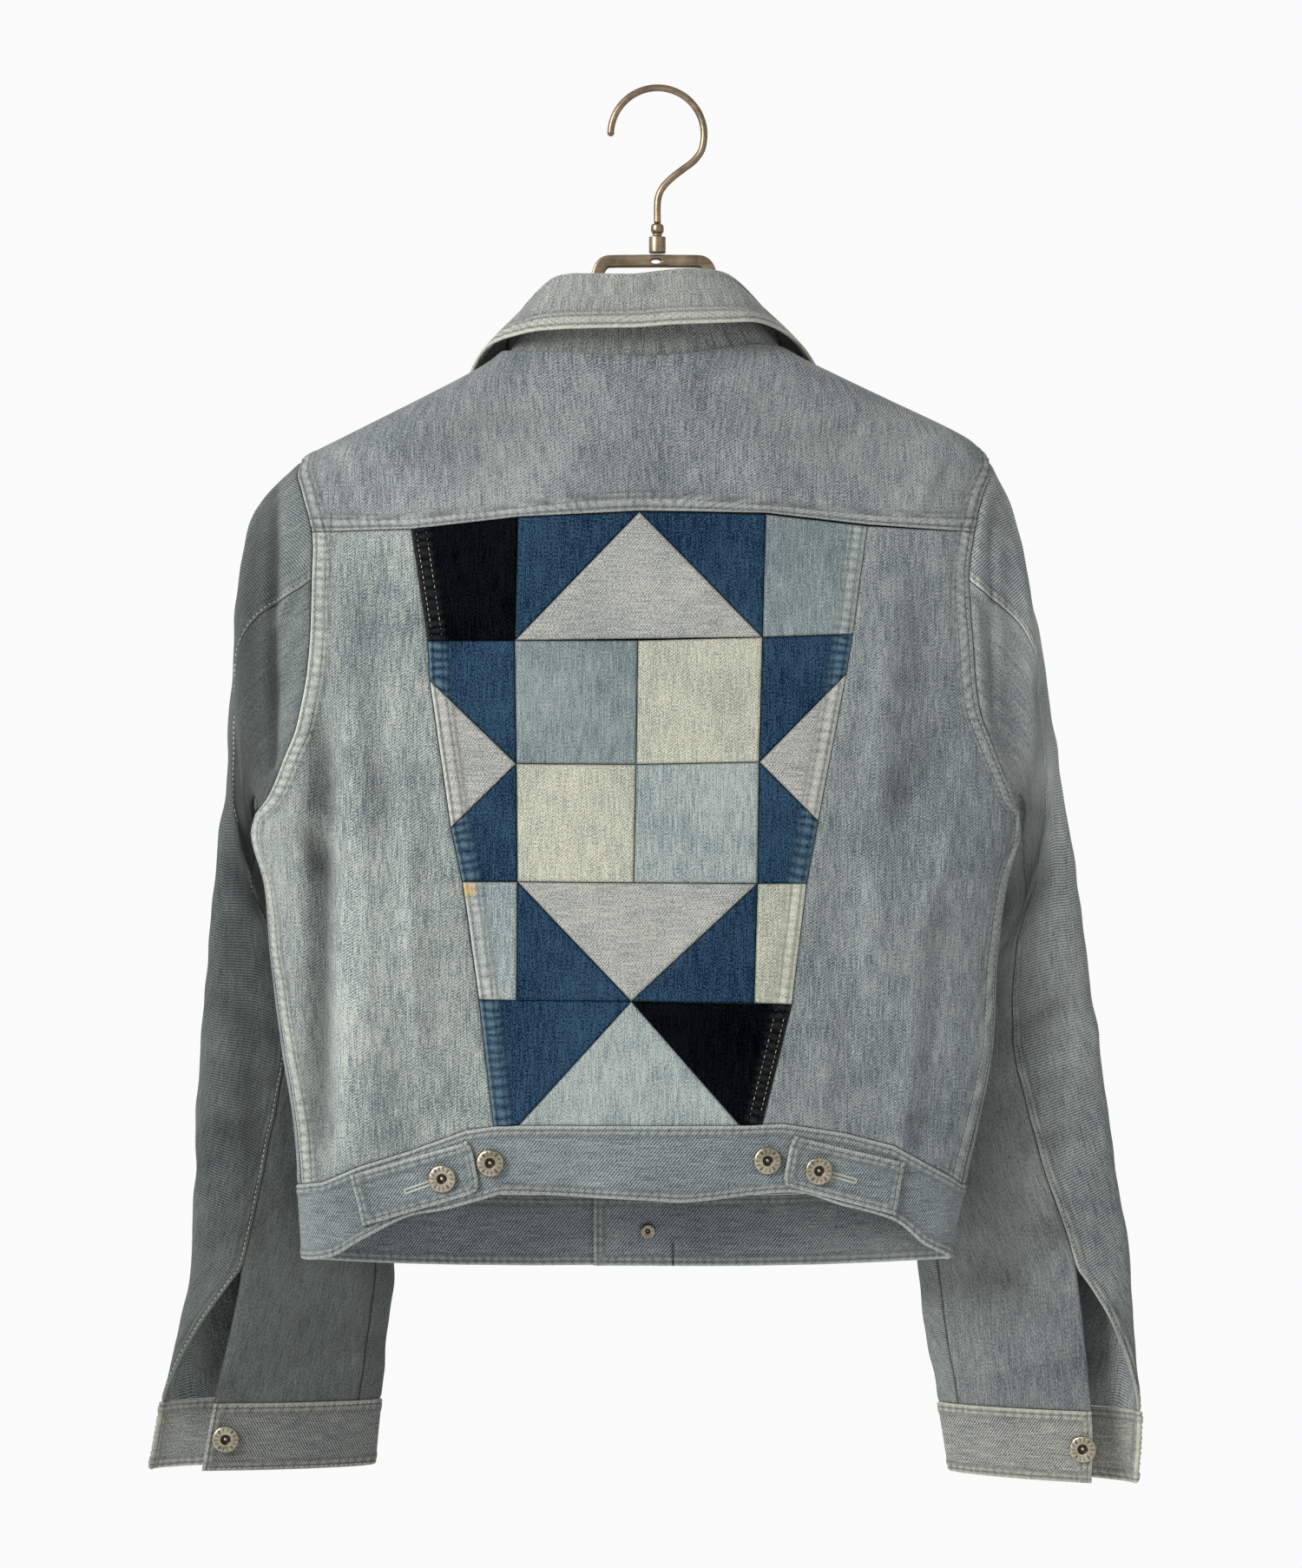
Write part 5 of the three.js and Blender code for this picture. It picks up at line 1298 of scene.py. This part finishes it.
def add_sleeve(name):
    rings = ring_stations(0.004, CUFF_RING, SLEEVE_LENGTH, SLEEVE_GRID[1], 0)[:, None]
    for part, seams, fractions, length in (
        ("under", under_seams, UNDER_FRACTIONS, 118), ("upper", upper_seams, UPPER_FRACTIONS, 250),
    ):
        index = stations(length, SLEEVE_GRID[0]) / length * (len(fractions) - 1)
        f = np.interp(index, np.arange(len(fractions)), fractions)[None]
        start, end = seams(rings)
        turns = start + (end - start) * f
        edges = {"first": TURNED if part == "upper" else PLAIN, "last": PLAIN, "bottom": PLAIN, "top": PLAIN}
        add_sleeve_piece(f"sleeve_{part}_{name}", name, np.broadcast_to(rings, turns.shape), turns,
                         DENIM[f"sleeve_{name}"], edges)
    start, seam = (float(v) for v in under_seams(CUFF_RING))
    flap = float(upper_seams(CUFF_RING)[0]) + 2 * PI
    places = np.concatenate([start + (seam - start) * UNDER_FRACTIONS,
                             (flap + (seam - flap) * UPPER_FRACTIONS)[::-1][1:]])
    index = stations(CUFF_SPAN[0], CUFF_GRID[0]) / CUFF_SPAN[0] * (len(places) - 1)
    turn = np.interp(index, np.arange(len(places)), places)[None]
    rings = ring_stations(CUFF_RING, HEM_RING, CUFF_SPAN[1], CUFF_GRID[1])[:, None]
    turns = np.broadcast_to(turn, (len(rings), turn.shape[1]))
    add_sleeve_piece(f"cuff_{name}", name, np.broadcast_to(rings, turns.shape), turns, DENIM[f"cuff_{name}"],
                     ALL_TURNED, DOUBLE, BAND_LIFT, grain="along")


def add_cuff_button(name):
    ring, turn = np.array([CUFF_RING + 0.45]), np.array([CUFF_BUTTONS[name]])
    n = sleeve_normal(name, ring, turn)[0]
    add_button(f"cuff_button_{name}", sleeve_point(name, ring, turn)[0] + n * (BAND_LIFT + 0.9), n)


# ---- the collar ----
def collar_side(name):
    side = SIDE_SIGN[name]
    value = smooth(COLLAR_PLACES[name])
    back = back_neck()
    middle = (len(back) - 1) // 2
    own = back[:middle + 1][::-1] if side < 0 else back[middle:]
    front = front_neck(side)[1:-2]
    line = np.array(own + front)
    on_front = front_lift(np.array(front)[:, 0]) if side < 0 else np.zeros(len(front))
    lift = np.concatenate([np.zeros(len(own)), on_front])
    share = np.concatenate([0.5 * np.arange(len(own)) / (len(own) - 1),
                            0.5 + 0.5 * (np.arange(len(front)) + 1) / len(front)])
    n = body_normal(line[:, 0], line[:, 1])
    fold = np.stack([value(share, 1) + JACKET_X, value(share, 2), value(share, 3)], -1)
    edge = np.stack([value(share, 4) + JACKET_X, value(share, 5), value(share, 6)], -1)
    seam = body_point(line[:, 0], line[:, 1]) + n * lift[:, None]
    tucked = seam - unit(fold - seam) * 2.0 - n * (CLOTH + 2.4)
    return tucked, fold, edge


def through(points, s):
    """A smooth curve through points, by index."""
    points = np.asarray(points, float)
    i = np.clip(np.floor(s).astype(int), 0, len(points) - 2)
    t = (s - i)[:, None]
    p0, p1 = points[np.maximum(i - 1, 0)], points[i]
    p2, p3 = points[i + 1], points[np.minimum(i + 2, len(points) - 1)]
    return curve_between(p1, p2, (p2 - p0) / 2, (p3 - p1) / 2, t)


def add_collar():
    left, right = collar_side("left"), collar_side("right")
    base, fold, edge = (np.concatenate([a[::-1], b[1:]]) for a, b in zip(left, right))
    middle = (base + fold + edge) / 3
    reach = reach_along(middle)
    s = np.interp(stations(reach[-1], COLLAR_GRID), reach, np.arange(len(reach)))
    base, fold, edge = (through(line, s) for line in (base, fold, edge))
    outward = edge - fold
    outward[:, 2] = 0
    outward = unit(outward)
    up = np.array([0.0, 0, 1])
    stand = fold - outward * FOLD_RADIUS - up * FOLD_RADIUS
    leaf = fold + outward * FOLD_RADIUS - up * FOLD_RADIUS
    rows = [base + (stand - base) * t for t in np.linspace(0, 1, 16)[:-1]]
    centre = fold - up * FOLD_RADIUS
    rows += [centre + FOLD_RADIUS * (-math.cos(a) * outward + math.sin(a) * up)
             for a in np.linspace(0, PI, 11)]
    leaf_length = float(np.linalg.norm(edge - leaf, axis=1).mean())
    marks = stations(leaf_length * 2, COLLAR_GRID) / leaf_length
    for t in 1 - marks[marks < 1][::-1]:
        rows.append(leaf + (edge - leaf) * t + outward * 1.3 * math.sin(PI * t))
    p = np.stack(rows)
    p = p + up * (0.5 * ripple(p[..., 0], p[..., 1], 60))[..., None]
    n = grid_normals(p)
    d = grid_distances(p)
    across = np.broadcast_to(np.interp(s, np.arange(len(reach)), reach)[None], d["bottom"].shape)
    edges = {"top": SEWN, "first": SEWN, "last": SEWN}
    obj, outer = shell("collar_cloth", p, n, np.stack([across, d["bottom"]], -1), DENIM["collar"], edges,
                       COLLAR_CLOTH, distances=d)
    for side in edges:
        line, normals = edge_line(outer, n, side, STITCH_LINES[1])
        stitch("pale", line, normals)
    declare(obj, "collar", "washed_denim")


# ---- the hanger ----
def rod(line, section, sides):
    """Points and faces of a rod in the hanger's plane, from rows of place and section sizes."""
    line = np.asarray(line, float)
    ahead = np.gradient(line[:, :2], axis=0)
    ahead /= np.linalg.norm(ahead, axis=1)[:, None]
    angle = 2 * PI * np.arange(sides) / sides
    out, deep = section(line[:, 2:], angle)
    points = np.stack([line[:, :1] - ahead[:, 1:] * out, deep, line[:, 1:2] + ahead[:, :1] * out], -1)
    n = len(line)
    caps = [list(range(sides))[::-1], [(n - 1) * sides + k for k in range(sides)]]
    return points.reshape(-1, 3), tube_faces(n, sides) + caps


def round_section(size, angle):
    return size[:, :1] * np.cos(angle), size[:, :1] * np.sin(angle)


def soft_bar(size, angle):
    c, s = np.cos(angle), np.sin(angle)
    return size[:, :1] / 2 * np.sign(c) * np.abs(c) ** 0.45, size[:, 1:2] / 2 * np.sign(s) * np.abs(s) ** 0.45


def add_metal(node, points, faces):
    obj = mesh_object(node + "_detail", points, faces, HANGER_METAL)
    weld(obj)
    place(obj, "hanger_metal", node)
    return obj


def add_hanger():
    centre = WIRE - HOOK_RADIUS
    arc = [[HOOK_RADIUS * math.cos(a), centre + HOOK_RADIUS * math.sin(a), WIRE]
           for a in np.linspace(PI * 0.995, -0.16, 60)]
    tip = [arc[0][:2] + [WIRE * k] for k in (0.25, 0.62, 0.85)]
    tip = [[p[0], p[1] - 1.6 + 0.45 * i, p[2]] for i, p in enumerate(tip)]
    bend = through([arc[-4][:2], arc[-1][:2]] + SHANK, np.linspace(1, 9, 60))
    line = tip + arc + [[x, z, WIRE] for x, z in bend[1:]]
    add_metal("hook", *rod(line, round_section, 24))

    profile = through(FERRULE_PROFILE, np.linspace(0, len(FERRULE_PROFILE) - 1, 57))
    angle = 2 * PI * np.arange(48) / 48
    points = np.stack([profile[:, :1] * np.cos(angle), profile[:, :1] * np.sin(angle),
                       np.repeat(profile[:, 1:], 48, 1)], -1).reshape(-1, 3)
    add_metal("ferrule", points, tube_faces(len(profile), 48))

    left = [[-x - 3, *rest] for x, *rest in FRAME_HALF[::-1]]
    right = [[x - 1, *rest] for x, *rest in FRAME_HALF]
    row = np.array(left + [[-14, -105.1, 8, 4], [-2, -105.0, 8, 4], [11, -105.1, 8, 4]] + right)
    obj = add_metal("hanger_frame", *rod(through(row, np.linspace(0, len(row) - 1, 150)), soft_bar, 28))
    angle = 2 * PI * np.arange(40) / 40
    ring = np.stack([3 * np.cos(angle) - 1, np.zeros(40), 1.35 * np.sin(angle) - 105.4], -1)
    tool_points = np.concatenate([ring + [0, -10, 0], ring + [0, 10, 0]])
    tool_faces = tube_faces(2, 40) + [list(range(40))[::-1], list(range(40, 80))]
    tool = mesh_object("hole_tool", tool_points, tool_faces, HANGER_METAL)
    weld(tool)
    cut = obj.modifiers.new("hole", "BOOLEAN")
    cut.operation = "DIFFERENCE"
    cut.object = tool
    cut.solver = "EXACT"
    graph = bpy.context.evaluated_depsgraph_get()
    mesh = bpy.data.meshes.new_from_object(obj.evaluated_get(graph))
    obj.modifiers.clear()
    obj.data = mesh
    bpy.data.objects.remove(tool)
    mesh.polygons.foreach_set("use_smooth", [True] * len(mesh.polygons))


def add_threads():
    """One mesh for each colour of thread. A stitch is four rows of three points."""
    strip = np.array([[3 * i + k, 3 * i + k + 1, 3 * i + k + 4, 3 * i + k + 3]
                      for i in range(3) for k in range(2)])
    for colour, rows in THREADS.items():
        rings = np.concatenate(rows)
        faces = ((np.arange(len(rings)) * 12)[:, None, None] + strip[None]).reshape(-1, 4)
        place(mesh_object(f"stitching_{colour}", rings.reshape(-1, 3), faces, THREAD[colour]), "washed_denim")


# ---- the room ----
def add_room():
    low, high = (np.array(v) for v in CAD_BOX)
    size = high - low
    middle = (low + high) / 2
    bpy.ops.mesh.primitive_plane_add(size=4.2, location=(middle[0], 0.0, low[2] - 0.46))
    floor = bpy.context.object
    floor.name = "floor"
    k = Nodes("floor_pale")
    colour = k.mix(k.noise(k.place(), 2.0), (0.86, 0.86, 0.85, 1), (0.9, 0.9, 0.89, 1))
    floor.data.materials.append(k.finish({"Base Color": colour, "Roughness": 0.8}))

    camera = scene_object("camera", bpy.data.cameras.new("camera"))
    distance = 3.2 * size[2]
    camera.location = (middle[0] + 0.004, middle[1] - distance, middle[2] + 0.003)
    camera.rotation_euler = (PI / 2, 0, 0)
    camera.data.sensor_fit = "VERTICAL"
    camera.data.sensor_height = 36
    camera.data.lens = 36 * distance / (1.119 * size[2])
    bpy.context.scene.camera = camera

    for name, offset, power, width in (
        ("key", (-1.7, -1.6, 1.0), 110, 1.0), ("fill", (1.4, -2.2, 0.2), 10, 1.8),
        ("back", (0.4, 1.8, 0.9), 26, 1.4),
    ):
        light = bpy.data.lights.new(name, "AREA")
        light.energy = power
        light.size = width
        lamp = scene_object(name, light)
        lamp.location = Vector(middle.tolist()) + Vector(offset)
        lamp.rotation_euler = (-Vector(offset)).to_track_quat("-Z", "Y").to_euler()
    world = bpy.data.worlds.new("studio")
    world.use_nodes = True
    sky = world.node_tree.nodes["Background"].inputs
    sky[0].default_value = (1, 1, 1, 1)
    sky[1].default_value = 0.96
    bpy.context.scene.world = world
    bpy.context.scene.view_settings.view_transform = "Standard"


def both(add):
    for name in SIDE_SIGN:
        add(name)


add_yoke()
both(add_back_side)
add_patches()
both(add_front)
add_waistband()
both(add_tab)
add_body_buttons()
add_buttonholes()
both(add_sleeve)
both(add_cuff_button)
add_collar()
add_hanger()
add_threads()
add_room()
